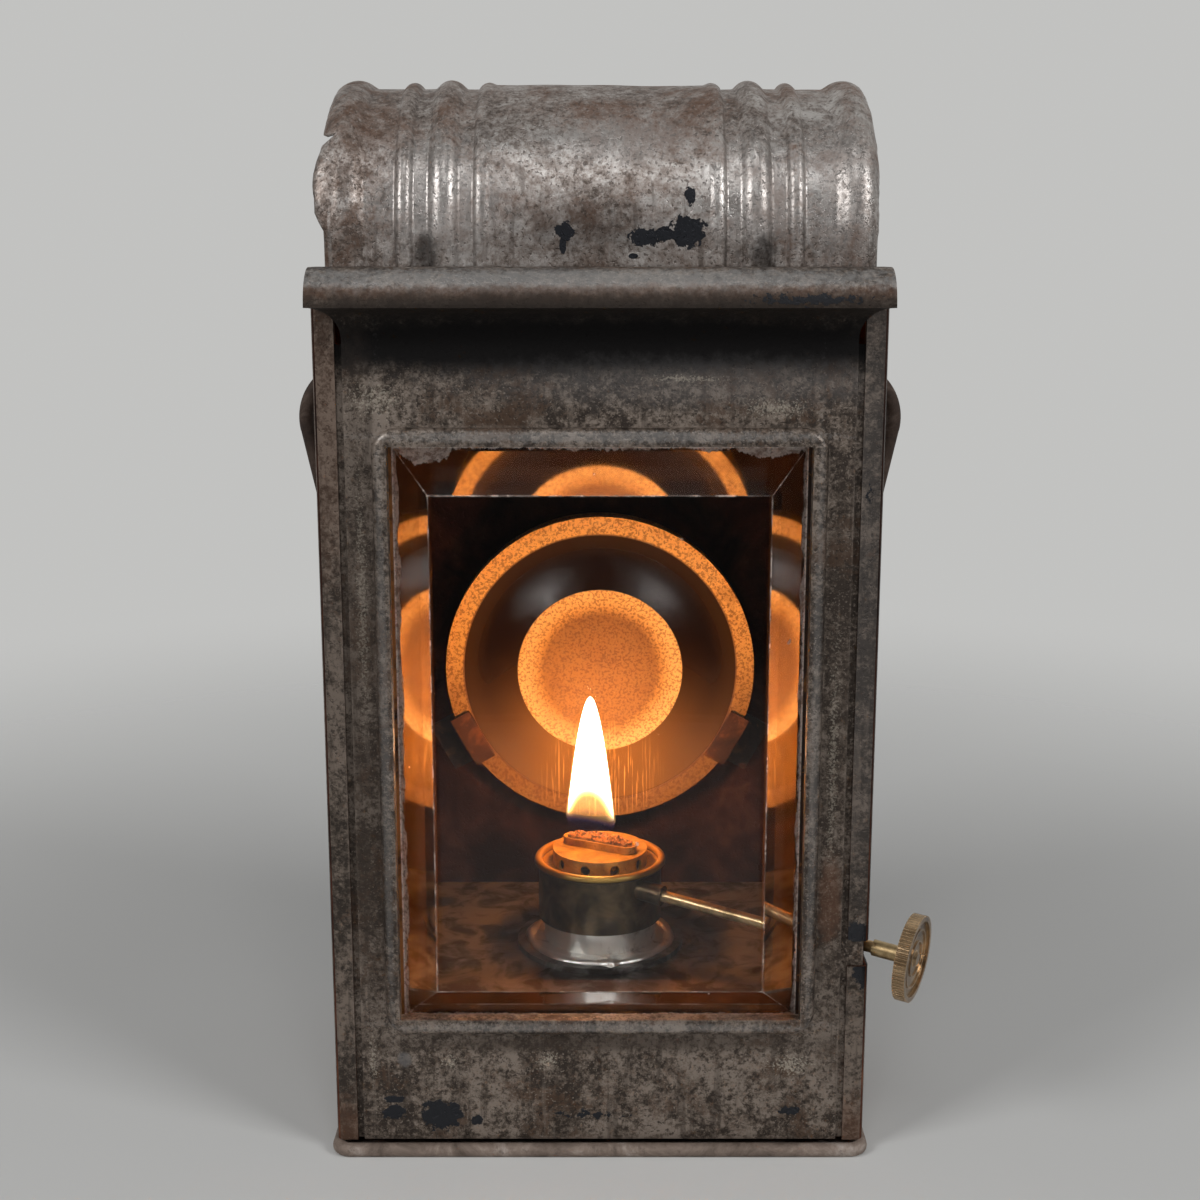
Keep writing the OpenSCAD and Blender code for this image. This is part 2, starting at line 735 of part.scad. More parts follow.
// Tube round the wick, with windows for the spur wheels and ears for the spindle
module wick_tube() {
    window = 2 * wheel_r + 2 * wheel_gap;
    color(old_brass) {
        difference() {
            translate([0, 0, tube_z]) linear_extrude(tube_top - tube_z) difference() {
                tube_plan(0);
                tube_plan(-brass_t);
            }
            for (s = [-1, 1])
                on_spindle(s * wheel_pitch / 2)
                    translate([-wheel_t / 2 - wheel_gap, -wheel_r, -window / 2])
                        cube([wheel_t + 2 * wheel_gap, 2 * wheel_r + wheel_gap + brass_t, window]);
        }
        for (s = [-1, 1])
            on_spindle(s * ear_s) translate([s < 0 ? -ear_t : 0, 0, 0]) difference() {
                union() {
                    rotate([0, 90, 0]) cylinder(h = ear_t, r = bush_r);
                    translate([0, 0, -bush_r]) cube([ear_t, ear_reach(), 2 * bush_r]);
                }
                translate([-over, 0, 0]) rotate([0, 90, 0]) cylinder(h = ear_t + 2 * over, r = bearing_r);
            }
    }
}

// Reach of a bearing ear from the spindle to the middle of the tube's wall
function ear_reach() = offset_wick - tube_t / 2 + brass_t / 2;

// Bearing bush in the side of the drum
module spindle_bush() {
    color(old_brass) difference() {
        spindle_bar(bush_s, bush_s + bush_len, bush_r);
        spindle_bar(bush_s - over, bush_s + bush_len + over, bearing_r);
    }
}

// Plate on the back wall, rolled round the handles' wire at both edges
module handle_plate() {
    color(rust_brown) difference() {
        union() {
            translate([-hinge_x, y_back, plate_z]) cube([2 * hinge_x, plate_t, plate_h]);
            for (x = [-1, 1])
                translate([x * hinge_x, hinge_y, plate_z]) cylinder(h = plate_h, r = knuckle_out);
        }
        for (x = [-1, 1])
            translate([x * hinge_x, hinge_y, plate_z - over])
                cylinder(h = plate_h + 2 * over, r = knuckle_in);
        plate_rivet_places() translate([0, -over, 0]) rotate([-90, 0, 0])
            cylinder(h = plate_t + 2 * over, r = shank_r);
    }
}

// The four places of the plate rivets, on the outside of the back wall
module plate_rivet_places() {
    for (x = [-1, 1], z = [rivet_in, plate_h - rivet_in])
        translate([x * rivet_x, y_back, plate_z + z]) children();
}

// Rivets through the handle plate and the back wall
module handle_rivets() {
    color(rust_brown) plate_rivet_places() rotate([-90, 0, 0]) {
        translate([0, 0, -sheet]) cylinder(h = sheet + plate_t, r = shank_r);
        translate([0, 0, plate_t]) cylinder(h = head_h, r1 = head_r, r2 = shank_r);
        translate([0, 0, -sheet - head_h / 2]) cylinder(h = head_h / 2, r = head_r);
    }
}

// Solid under the pressed border's face, drawn in by the sheet
module border_block(inset, back) {
    w = window_w + 2 * (border_side - inset);
    h = window_h + 2 * (border_end - inset);
    q = border_round - inset;
    r = border_r - inset;
    face = -border_rise + inset;
    translate([0, 0, window_z + window_h / 2]) {
        through(face + q, back) round_rect(w, h, r);
        through(face, back) round_rect(w - 2 * q, h - 2 * q, r - q);
        translate([0, y_front + face + q, 0]) rotate([90, 0, 0]) border_edge(w, h, r, q);
    }
}

// Quarter-round edge of the pressed border, along its four sides and round its corners
module border_edge(w, h, r, q) {
    for (turn = [0 : 3]) {
        flip = turn % 2;
        run = (flip == 0 ? h : w) - 2 * r;
        far = (flip == 0 ? w : h) / 2;
        rotate(90 * turn) {
            translate([far - q, run / 2, 0]) rotate([90, 0, 0]) linear_extrude(run)
                intersection() {
                    circle(q);
                    square(q);
                }
            translate([far - r, run / 2, 0]) rotate_extrude(angle = 90) translate([r - q, 0])
                intersection() {
                    circle(q);
                    square(q);
                }
        }
    }
}

// Side view of the cove, the finger lip and the flat top behind it
module lip_profile() {
    translate([-cove_r, cove_z]) quarter_ring(cove_r, cove_r + sheet);
    translate([lip_r - cove_r, nose_z]) rotate(90) quarter_ring(lip_r - sheet, lip_r);
    translate([lip_r - cove_r, lip_top - sheet]) square([frame_back - lip_r + cove_r, sheet]);
}

// Front view of the finger lip, flared from the field's width to the body's
module lip_face() {
    flare_z = nose_z - flare_r;
    difference() {
        translate([-half_w, cove_z]) square([body_w, lip_top - cove_z]);
        for (side = [-1, 1])
            translate([side * half_w, flare_z]) {
                circle(flare_r);
                translate([-flare_r, -body_d]) square([2 * flare_r, body_d]);
            }
    }
}

// Pressed front: flat edges, raised field, border round the window, cove and finger lip
module front_panel() {
    color(tin_grey) {
        difference() {
            translate([0, y_front, slide_z]) linear_extrude(cove_z - slide_z) {
                translate([-field_half, 0]) square([2 * field_half, sheet]);
                for (side = [0, 1])
                    mirror([side, 0]) {
                        translate([field_half - sheet, 0]) square([sheet, flange_back]);
                        translate([field_half - sheet, flange_d])
                            square([flange_half - field_half + sheet, sheet]);
                    }
            }
            border_block(sheet, 2 * sheet);
        }
        difference() {
            border_block(0, sheet);
            border_block(sheet, 2 * sheet);
            through(-over - border_rise, over + sheet) window_face(0);
        }
        through(-border_rise, window_edge - border_rise) difference() {
            window_face(groove_t);
            window_face(0);
        }
        intersection() {
            across(body_w) lip_profile();
            through(-body_d / 2, body_d / 2) lip_face();
        }
    }
}

// Folded grooves that hold the pane's rim, flanged to the back of the slide
module glass_frame() {
    front_lip = groove_t + groove_gap + lip_lap;
    color(tin_dark) {
        through(sheet, frame_back) difference() {
            frame_face(0);
            frame_face(groove_t);
        }
        through(sheet, sheet + groove_t) difference() {
            frame_face(-frame_flange);
            frame_face(groove_t);
        }
        through(land_d - groove_gap - groove_t, land_d - groove_gap) difference() {
            frame_face(0);
            frame_face(front_lip);
        }
        through(frame_back - groove_t, frame_back) difference() {
            frame_face(0);
            frame_face(front_lip + land_w);
        }
    }
}

// Section across the pane: back, rims, lands and bevels
module pane_section(half, bevel) {
    foot = half - land_w;
    polygon([
        [-half, glass_back], [half, glass_back], [half, land_d], [foot, land_d],
        [foot - bevel, -glass_proud], [-foot + bevel, -glass_proud], [-foot, land_d], [-half, land_d]
    ]);
}

// Thick pane whose four bevels meet in mitres and leave a thin rim
module glass_pane() {
    pane_h = glass_top - glass_z;
    color(glass_tint) intersection() {
        translate([0, y_front, glass_z]) linear_extrude(pane_h) pane_section(glass_half, bevel_side);
        translate([-glass_half, y_front, glass_z + pane_h / 2]) rotate([0, 90, 0])
            linear_extrude(2 * glass_half) pane_section(pane_h / 2, bevel_end);
    }
}

// Spindle with the hub beside its knob
module spindle() {
    color(old_brass) {
        spindle_bar(-ear_s - ear_t - wheel_gap, knob_s + knob_web, spindle_r);
        spindle_bar(to_wall + hub_d / 2, knob_s, hub_d / 2);
    }
}

// Toothed outline of a spur wheel
module spur_outline() {
    step = 360 / tooth_count;
    difference() {
        polygon([
            for (i = [0 : tooth_count - 1], tip = [0, 1])
                (wheel_r - (1 - tip) * tooth_h) * [cos((i + tip / 2) * step), sin((i + tip / 2) * step)]
        ]);
        circle(spindle_r);
    }
}

// Pair of toothed wheels that grip the wick
module spur_wheels() {
    color(old_brass)
        for (s = [-1, 1])
            on_spindle(s * wheel_pitch / 2 - wheel_t / 2) rotate([0, 90, 0]) linear_extrude(wheel_t)
                spur_outline();
}

// Knurled knob with a raised edge and two turned rings
module knob() {
    knob_r = knob_d / 2;
    rim_in = knob_r - knob_rim;
    ring_w = knob_rim / 4;
    color(old_brass) on_spindle(knob_s) rotate([0, 90, 0]) difference() {
        rotate_extrude() {
            translate([spindle_r, 0]) square([knob_r - spindle_r, knob_web]);
            translate([rim_in, 0]) square([knob_rim, knob_t]);
            for (place = [0.45, 0.75])
                translate([rim_in * place, 0]) square([ring_w, knob_web + ring_w]);
        }
        for (i = [0 : knurl_count - 1])
            rotate(i * 360 / knurl_count) translate([knob_r + knurl_r / 4, 0, -over])
                cylinder(h = knob_t + 2 * over, r = knurl_r, $fn = 16);
    }
}

// Peened head that holds the knob on its spindle
module knob_rivet() {
    color(old_brass) on_spindle(knob_s + knob_web) rotate([0, 90, 0])
        cylinder(h = knob_t - knob_web, r1 = rivet_head, r2 = spindle_r);
}

// Flat woven wick, from near the fount's floor to just above its tube
module wick() {
    color(wick_cream) translate([0, burner_y, wick_z]) rotate([0, 0, -heading])
        linear_extrude(tube_top + wick_show - wick_z) oblong(wick_w, wick_t);
}

// Corner points of a handle: hinge limb, then the upper outer and lower outer corners
function handle_points() = [
    [0, handle_z], [0, handle_z + handle_h], [reach_top, handle_z + handle_h], [reach_foot, handle_z]
];

// Unit vector from one point to another
function heading_of(a, b) = (b - a) / norm(b - a);

// Length that a bend takes off each limb at corner i
function bend_cut(p, r, i) =
    let (n = len(p), u = heading_of(p[(i + n - 1) % n], p[i]), v = heading_of(p[i], p[(i + 1) % n]))
    r[i] * tan(acos(u * v) / 2);

// Closed loop of wire in the XY plane, turning clockwise, with a bend radius at each corner
module wire_loop(p, r, d) {
    n = len(p);
    for (i = [0 : n - 1]) {
        last = p[(i + n - 1) % n];
        next = p[(i + 1) % n];
        u = heading_of(last, p[i]);
        v = heading_of(p[i], next);
        cut = bend_cut(p, r, i);
        start = p[i] - u * cut;
        out = p[i] + v * cut;
        middle = start + r[i] * [u[1], -u[0]];
        run = norm(next - p[i]) - cut - bend_cut(p, r, (i + 1) % n);
        translate(middle) rotate(atan2(v[0], -v[1])) rotate_extrude(angle = acos(u * v))
            translate([r[i], 0]) circle(d / 2 + bend_swell);
        translate(out - v * limb_lap) rotate([0, 0, atan2(v[1], v[0])]) rotate([0, 90, 0])
            cylinder(h = run + 2 * limb_lap, r = d / 2);
    }
}

// Folding wire handle, lying flat beside the back wall
module wire_handle(side) {
    bends = [bend_hinge, bend_hinge, bend_top, bend_foot];
    color(rust_brown) translate([side * hinge_x, hinge_y, 0]) mirror([side < 0 ? 1 : 0, 0, 0])
        rotate([90, 0, 0]) wire_loop(handle_points(), bends, wire_d);
}

body_shell();
base_plate();
slide_guide(-1);  // slide_guide_left
slide_guide(1);  // slide_guide_right
flue_plate();
smoke_baffle();
hood();
hood_end(-1);  // hood_end_left
hood_end(1);  // hood_end_right
reflector();
reflector_clip(180 + clip_angle);  // reflector_clip_left
reflector_clip(-clip_angle);  // reflector_clip_right
fount_tank();
fount_top();
fount_collar();
burner_plug();
burner_drum();
burner_cap();
wick_tube();
spindle_bush();
handle_plate();
handle_rivets();
front_panel();
glass_frame();
glass_pane();
spindle();
spur_wheels();
knob();
knob_rivet();
wick();
wire_handle(-1);  // handle_left
wire_handle(1);  // handle_right
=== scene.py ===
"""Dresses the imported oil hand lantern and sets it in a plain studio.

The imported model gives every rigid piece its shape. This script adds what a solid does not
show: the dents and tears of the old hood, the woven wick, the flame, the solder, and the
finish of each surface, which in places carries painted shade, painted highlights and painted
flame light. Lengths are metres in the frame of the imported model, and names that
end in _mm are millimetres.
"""

import logging
import math
from dataclasses import dataclass, field
from enum import Enum
from typing import Callable, Protocol, Sequence

import bpy
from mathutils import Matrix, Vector, noise


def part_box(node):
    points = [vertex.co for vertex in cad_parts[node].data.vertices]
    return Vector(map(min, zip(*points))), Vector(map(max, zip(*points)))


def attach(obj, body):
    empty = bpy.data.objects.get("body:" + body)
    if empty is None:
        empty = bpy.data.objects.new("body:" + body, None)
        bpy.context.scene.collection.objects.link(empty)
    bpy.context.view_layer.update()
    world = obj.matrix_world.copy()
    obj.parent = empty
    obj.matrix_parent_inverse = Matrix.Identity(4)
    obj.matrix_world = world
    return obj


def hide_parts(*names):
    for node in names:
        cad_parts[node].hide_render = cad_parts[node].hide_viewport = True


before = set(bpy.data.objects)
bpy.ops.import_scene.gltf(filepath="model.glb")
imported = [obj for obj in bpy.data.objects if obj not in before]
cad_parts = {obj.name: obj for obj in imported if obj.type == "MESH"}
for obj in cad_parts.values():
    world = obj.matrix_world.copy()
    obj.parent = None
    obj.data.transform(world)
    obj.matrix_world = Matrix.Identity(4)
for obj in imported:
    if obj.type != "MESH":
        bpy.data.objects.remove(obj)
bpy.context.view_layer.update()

MM = 0.001
ALL_MM = 1000.0  # a radius that takes in the whole lantern

Rgb = tuple[float, float, float]
Triple = tuple[float, float, float]
Socket = bpy.types.NodeSocket
Feed = float | Rgb | Socket

log = logging.getLogger("lantern")


class Recipe:
    """The node tree of one material or world, with the node patterns that the finishes share."""

    def __init__(self, name: str, world: bool = False) -> None:
        """Starts an empty tree.

        Args:
            name: Name of the material or world.
            world: Whether it is a world.
        """
        self.owner = bpy.data.worlds.new(name) if world else bpy.data.materials.new(name)
        self.owner.use_nodes = True
        self.tree = self.owner.node_tree
        self.tree.nodes.clear()
        self.output = self.node("ShaderNodeOutputWorld" if world else "ShaderNodeOutputMaterial")
        self.place: Socket = self.node("ShaderNodeTexCoord").outputs["Generated" if world else "Object"]

    def node(self, kind: str, feeds: dict | None = None, **settings: object) -> bpy.types.Node:
        """Adds a node.

        Args:
            kind: Blender's name of the node type.
            feeds: Values or sockets for the node's inputs, by name or place.
            settings: Attributes of the node.

        Returns:
            The new node.
        """
        made = self.tree.nodes.new(kind)
        for key, value in settings.items():
            setattr(made, key, value)
        for key, value in (feeds or {}).items():
            self.feed(made.inputs[key], value)
        return made

    def feed(self, socket: Socket, value: Feed) -> None:
        """Links a socket to an input, or sets the input to a plain value.

        Args:
            socket: The input.
            value: What it gets.
        """
        if isinstance(value, bpy.types.NodeSocket):
            self.tree.links.new(value, socket)
        elif socket.type == "RGBA" and len(value) == 3:
            socket.default_value = (*value, 1.0)
        else:
            socket.default_value = value

    def moved(self, stretch: Triple, shift: Triple) -> Socket:
        """Gives the place on the object, scaled and then shifted on each axis."""
        feeds = {"Vector": self.place, "Scale": stretch, "Location": shift}
        return self.node("ShaderNodeMapping", feeds).outputs[0]

    def noise(
        self,
        scale: float,
        detail: float = 4.0,
        rough: float = 0.55,
        warp: float = 0.0,
        stretch: Triple = (1.0, 1.0, 1.0),
        shift: Triple = (0.0, 0.0, 0.0),
    ) -> Socket:
        """Adds a cloudy noise.

        Args:
            scale: Number of clouds in a metre.
            detail: Octaves of finer noise.
            rough: Weight of the finer noise.
            warp: How far the noise is twisted.
            stretch: Scale on each axis, for streaks.
            shift: Offset that gives this noise its own pattern.

        Returns:
            The noise, from 0 to 1.
        """
        feeds = {
            "Vector": self.moved(stretch, shift),
            "Scale": scale,
            "Detail": detail,
            "Roughness": rough,
            "Distortion": warp,
        }
        return self.node("ShaderNodeTexNoise", feeds).outputs[0]

    def band(self, value: Socket, low: float, high: float, top: float = 1.0) -> Socket:
        """Rises smoothly from 0 at low to top at high; low may be the larger."""
        feeds = {"Value": value, "From Min": low, "From Max": high, "To Max": top}
        return self.node("ShaderNodeMapRange", feeds, interpolation_type="SMOOTHSTEP").outputs[0]

    def spread(self, value: Socket, low: float, high: float) -> Socket:
        """Stretches a value from 0..1 to low..high."""
        feeds = {"Value": value, "To Min": low, "To Max": high}
        return self.node("ShaderNodeMapRange", feeds).outputs[0]

    def math(self, operation: str, first: Feed, second: Feed = 0.0) -> Socket:
        """Combines two numbers with one of Blender's math operations."""
        return self.node("ShaderNodeMath", {0: first, 1: second}, operation=operation).outputs[0]

    def times(self, first: Feed, second: Feed) -> Socket:
        """Multiplies two numbers."""
        return self.math("MULTIPLY", first, second)

    def minus(self, first: Feed, second: Feed) -> Socket:
        """Takes the second number from the first."""
        return self.math("SUBTRACT", first, second)

    def mix(self, share: Feed, under: Feed, over: Feed) -> Socket:
        """Blends two colours; share 1 gives the second."""
        feeds = {0: share, 6: under, 7: over}
        return self.node("ShaderNodeMix", feeds, data_type="RGBA").outputs[2]

    def blend(self, share: Feed, under: Feed, over: Feed) -> Socket:
        """Blends two numbers; share 1 gives the second."""
        feeds = {0: share, 2: under, 3: over}
        return self.node("ShaderNodeMix", feeds, data_type="FLOAT").outputs[0]

    def ramp(self, value: Socket, stops: Sequence[tuple[float, Rgb]]) -> Socket:
        """Colours a value.

        Args:
            value: The value, from 0 to 1.
            stops: Places on the ramp and their colours, in order.

        Returns:
            The colour.
        """
        made = self.node("ShaderNodeValToRGB", {"Fac": value})
        marks = made.color_ramp.elements
        while len(marks) < len(stops):
            marks.new(0.5)
        for mark, (place, colour) in zip(marks, stops):
            mark.position = place
            mark.color = (*colour, 1.0)
        return made.outputs["Color"]

    def axis(self, name: str) -> Socket:
        """Gives the place along one axis, in metres."""
        return self.node("ShaderNodeSeparateXYZ", {"Vector": self.place}).outputs[name]

    def reach(self, centre_mm: Triple, radii_mm: Triple) -> Socket:
        """Measures how far a place lies from a point.

        Args:
            centre_mm: The point.
            radii_mm: What counts as 1 on each axis.

        Returns:
            The distance as a share of the radii.
        """
        stretch = tuple(1.0 / (r * MM) for r in radii_mm)
        shift = tuple(-c / r for c, r in zip(centre_mm, radii_mm))
        feeds = {0: self.moved(stretch, shift)}
        return self.node("ShaderNodeVectorMath", feeds, operation="LENGTH").outputs["Value"]

    def edges(self, radius: float) -> Socket:
        """Marks the surface close to a convex or concave edge.

        Args:
            radius: How far from the edge the mark reaches.

        Returns:
            The mark, 1 on the edge and 0 away from it.
        """
        soft = self.node("ShaderNodeBevel", {"Radius": radius}, samples=4).outputs[0]
        flat = self.node("ShaderNodeNewGeometry").outputs["Normal"]
        feeds = {0: soft, 1: flat}
        dot = self.node("ShaderNodeVectorMath", feeds, operation="DOT_PRODUCT").outputs["Value"]
        return self.band(dot, 0.995, 0.86)

    def bump(
        self, height: Socket, depth: float, strength: float = 1.0, under: Socket | None = None
    ) -> Socket:
        """Bends the normal by a height.

        Args:
            height: The height, from 0 to 1.
            depth: What a height of 1 stands for, in metres.
            strength: Share of the effect.
            under: A normal to bend further.

        Returns:
            The new normal.
        """
        feeds: dict = {"Strength": strength, "Distance": depth, "Height": height}
        if under is not None:
            feeds["Normal"] = under
        return self.node("ShaderNodeBump", feeds).outputs[0]

    def surface(self, **feeds: Feed) -> bpy.types.Material:
        """Ends the tree in a principled shader.

        Args:
            feeds: Inputs of the shader, with underscores for spaces.

        Returns:
            The finished material.
        """
        named = {key.replace("_", " "): value for key, value in feeds.items()}
        return self.ends_in(self.node("ShaderNodeBsdfPrincipled", named))

    def ends_in(self, shader: bpy.types.Node) -> bpy.types.Material | bpy.types.World:
        """Links the last shader to the output, and gives the finished material or world."""
        self.tree.links.new(shader.outputs[0], self.output.inputs["Surface"])
        return self.owner


class Stain(Enum):
    """What an old tinned surface carries in places, some of it also laid as painted shade and painted
    highlights, with its colour and roughness.
    """

    FLAKE = ((0.017, 0.018, 0.022), 0.42)  # old black paint
    CRUST = ((0.50, 0.45, 0.37), 0.9)  # pale mineral crust
    # Rubbed bright metal, also laid as painted highlights where lamps catch crests.
    RUBBED_AND_HIGHLIT = ((0.44, 0.43, 0.42), 0.24)  # rubbed bright metal
    RUST = ((0.16, 0.075, 0.042), 0.85)  # red rust
    # Smoke film, also laid as painted shade under the lip.
    SOOT_AND_SHADE = ((0.006, 0.005, 0.005), 0.85)  # smoke film
    # Brown dirt, also laid as painted shade under the lip and the window's bead.
    GRIME_AND_SHADE = ((0.045, 0.032, 0.024), 0.7)  # brown dirt
    BLOOM = ((0.150, 0.142, 0.140), 0.6)  # grey oxide

    @property
    def colour(self) -> Rgb:
        """The stain's own colour."""
        return self.value[0]

    @property
    def roughness(self) -> float:
        """The stain's own roughness."""
        return self.value[1]


@dataclass(frozen=True)
class Patch:
    """One stained place on a surface, which may also be painted shade or a painted highlight.

    Attributes:
        stain: What lies there.
        centre_mm: Its middle.
        radii_mm: Its half size on each axis.
        ragged: How far its edge is torn, as a share of its size.
        soft: How softly its edge ends.
        share: How much it hides of what is under it.
        grain: Number of tears in a metre.
        sparse: How much of it is broken away.
    """

    stain: Stain
    centre_mm: Triple
    radii_mm: Triple
    ragged: float = 0.8
    soft: float = 0.08
    share: float = 1.0
    grain: float = 420.0
    sparse: float = 0.0


@dataclass(frozen=True)
class AgedTin:
    """Tinned sheet that has stained, rusted and been rubbed for a century."""

    name: str
    pale: Rgb
    middle: Rgb
    dark: Rgb
    rust: Rgb
    rust_from: float = 0.56
    rust_soft: float = 0.09
    metallic: float = 0.6
    smooth: float = 0.36
    rough: float = 0.62
    worn: float = 0.5
    speckle: float = 0.45
    contrast: float = 1.0
    inside_mm: tuple[float, float] | None = None
    soot_z: tuple[float, float] = (55.0 * MM, 120.0 * MM)
    patches: tuple[Patch, ...] = ()

    def make(self) -> bpy.types.Material:
        """Builds the material.

        Returns:
            The finished material.
        """
        recipe = Recipe(self.name)
        broad = recipe.noise(26.0, 4.0, 0.6, 0.5)
        mottle = recipe.noise(310.0, 7.0, 0.74, 0.2)
        grain = recipe.noise(1250.0, 3.0, 0.65, shift=(0.3, 2.6, 8.1))
        clouds = recipe.blend(0.28, recipe.blend(0.60, broad, mottle), grain)
        low, high = 0.5 - 0.07 / self.contrast, 0.5 + 0.085 / self.contrast
        colour = recipe.ramp(clouds, ((low, self.dark), (0.5, self.middle), (high, self.pale)))
        rough = recipe.spread(clouds, self.rough, self.smooth)

        rust_field = recipe.blend(0.25, recipe.noise(58.0, 9.0, 0.74, 0.4, shift=(3.1, 0.7, 5.2)), grain)
        rusty = recipe.band(rust_field, self.rust_from, self.rust_from + self.rust_soft)
        colour = recipe.mix(recipe.times(rusty, 0.8), colour, self.rust)
        rough = recipe.blend(rusty, rough, Stain.RUST.roughness)

        speck = recipe.band(recipe.noise(1900.0, 2.0, 0.5), 0.60, 0.69, self.speckle)
        colour = recipe.mix(speck, colour, self.pale)
        pits = recipe.band(recipe.noise(1300.0, 2.0, 0.5, shift=(1.7, 4.0, 2.2)), 0.58, 0.68)
        colour = recipe.mix(recipe.times(pits, 0.7), colour, self.dark)

        drips = recipe.noise(60.0, 4.0, 0.6, 0.2, stretch=(9.0, 9.0, 0.7), shift=(2.0, 9.0, 0.0))
        colour = recipe.mix(recipe.band(drips, 0.54, 0.68, 0.5), colour, self.dark)
        colour = recipe.mix(recipe.band(drips, 0.40, 0.30, 0.3), colour, self.pale)

        rubbed = recipe.times(recipe.edges(0.9 * MM), recipe.band(clouds, 0.35, 0.6, self.worn))
        colour = recipe.mix(rubbed, colour, self.pale)
        rough = recipe.blend(rubbed, rough, self.smooth)

        height = recipe.minus(grain, recipe.times(pits, 0.8))
        for patch in self.patches:
            colour, rough, height = self.stained(recipe, patch, colour, rough, height)
        metallic: Feed = self.metallic
        if self.inside_mm:
            colour, rough, metallic = self.smoked(recipe, colour, rough)

        dents = recipe.bump(recipe.noise(34.0, 3.0, 0.5), 1.1 * MM, 0.6)
        return recipe.surface(
            Base_Color=colour,
            Metallic=metallic,
            Roughness=rough,
            Normal=recipe.bump(height, 0.12 * MM, 0.7, dents),
        )

    @staticmethod
    def stained(
        recipe: Recipe, patch: Patch, colour: Socket, rough: Socket, height: Socket
    ) -> tuple[Socket, Socket, Socket]:
        """Lays one stain, painted shade or painted highlight over the surface.

        Args:
            recipe: The material's tree.
            patch: The stain and its place.
            colour: Colour under the stain.
            rough: Roughness under the stain.
            height: Height under the stain.

        Returns:
            Colour, roughness and height with the stain on them.
        """
        torn = recipe.spread(recipe.noise(patch.grain, 5.0, 0.65), -patch.ragged, patch.ragged)
        away = recipe.math("ADD", recipe.reach(patch.centre_mm, patch.radii_mm), torn)
        edge = 1.0 - patch.sparse
        mask = recipe.band(away, edge + patch.soft, edge - patch.soft, patch.share)
        lift = 0.9 if patch.stain is Stain.FLAKE else 0.25
        return (
            recipe.mix(mask, colour, patch.stain.colour),
            recipe.blend(mask, rough, patch.stain.roughness),
            recipe.math("ADD", height, recipe.times(mask, lift)),
        )

    def smoked(self, recipe: Recipe, colour: Socket, rough: Socket) -> tuple[Socket, Socket, Socket]:
        """Darkens the faces that look into the lamp chamber.

        Args:
            recipe: The material's tree.
            colour: Colour of the outside.
            rough: Roughness of the outside.

        Returns:
            Colour, roughness and metal share with the smoke film inside.
        """
        half_x, half_y = self.inside_mm
        wide = recipe.math("DIVIDE", recipe.math("ABSOLUTE", recipe.axis("X")), half_x * MM)
        deep = recipe.math("DIVIDE", recipe.math("ABSOLUTE", recipe.axis("Y")), half_y * MM)
        inside = recipe.math("LESS_THAN", recipe.math("MAXIMUM", wide, deep), 1.0)
        film = recipe.noise(70.0, 6.0, 0.65, 0.5, shift=(4.4, 1.2, 0.3))
        stops = ((0.35, (0.034, 0.013, 0.009)), (0.58, (0.125, 0.044, 0.025)), (0.78, (0.28, 0.105, 0.050)))
        sooty = recipe.band(recipe.axis("Z"), *self.soot_z, 0.6)
        walls = recipe.mix(sooty, recipe.ramp(film, stops), Stain.SOOT_AND_SHADE.colour)
        return (
            recipe.mix(inside, colour, walls),
            recipe.blend(inside, rough, 0.75),
            recipe.blend(inside, self.metallic, 0.92),
        )


@dataclass(frozen=True)
class Smoked:
    """Dark sheet inside the lantern."""

    name: str
    dark: Rgb = (0.012, 0.009, 0.008)
    brown: Rgb = (0.055, 0.030, 0.019)
    rust: Rgb = (0.20, 0.088, 0.035)
    rusty_left_of: float = -1.0

    def make(self) -> bpy.types.Material:
        """Builds the material.

        Returns:
            The finished material.
        """
        recipe = Recipe(self.name)
        film = recipe.noise(95.0, 7.0, 0.66, 0.6)
        fine = recipe.noise(900.0, 3.0)
        colour = recipe.ramp(film, ((0.34, self.dark), (0.54, self.brown), (0.72, self.rust)))
        colour = recipe.mix(recipe.band(fine, 0.62, 0.72, 0.4), colour, self.rust)
        left = recipe.band(recipe.axis("X"), self.rusty_left_of + MM, self.rusty_left_of - MM, 0.75)
        colour = recipe.mix(recipe.times(left, recipe.band(film, 0.35, 0.55)), colour, self.rust)
        normal = recipe.bump(fine, 0.1 * MM, 0.6)
        rough = recipe.spread(film, 0.5, 0.85)
        return recipe.surface(Base_Color=colour, Metallic=0.35, Roughness=rough, Normal=normal)


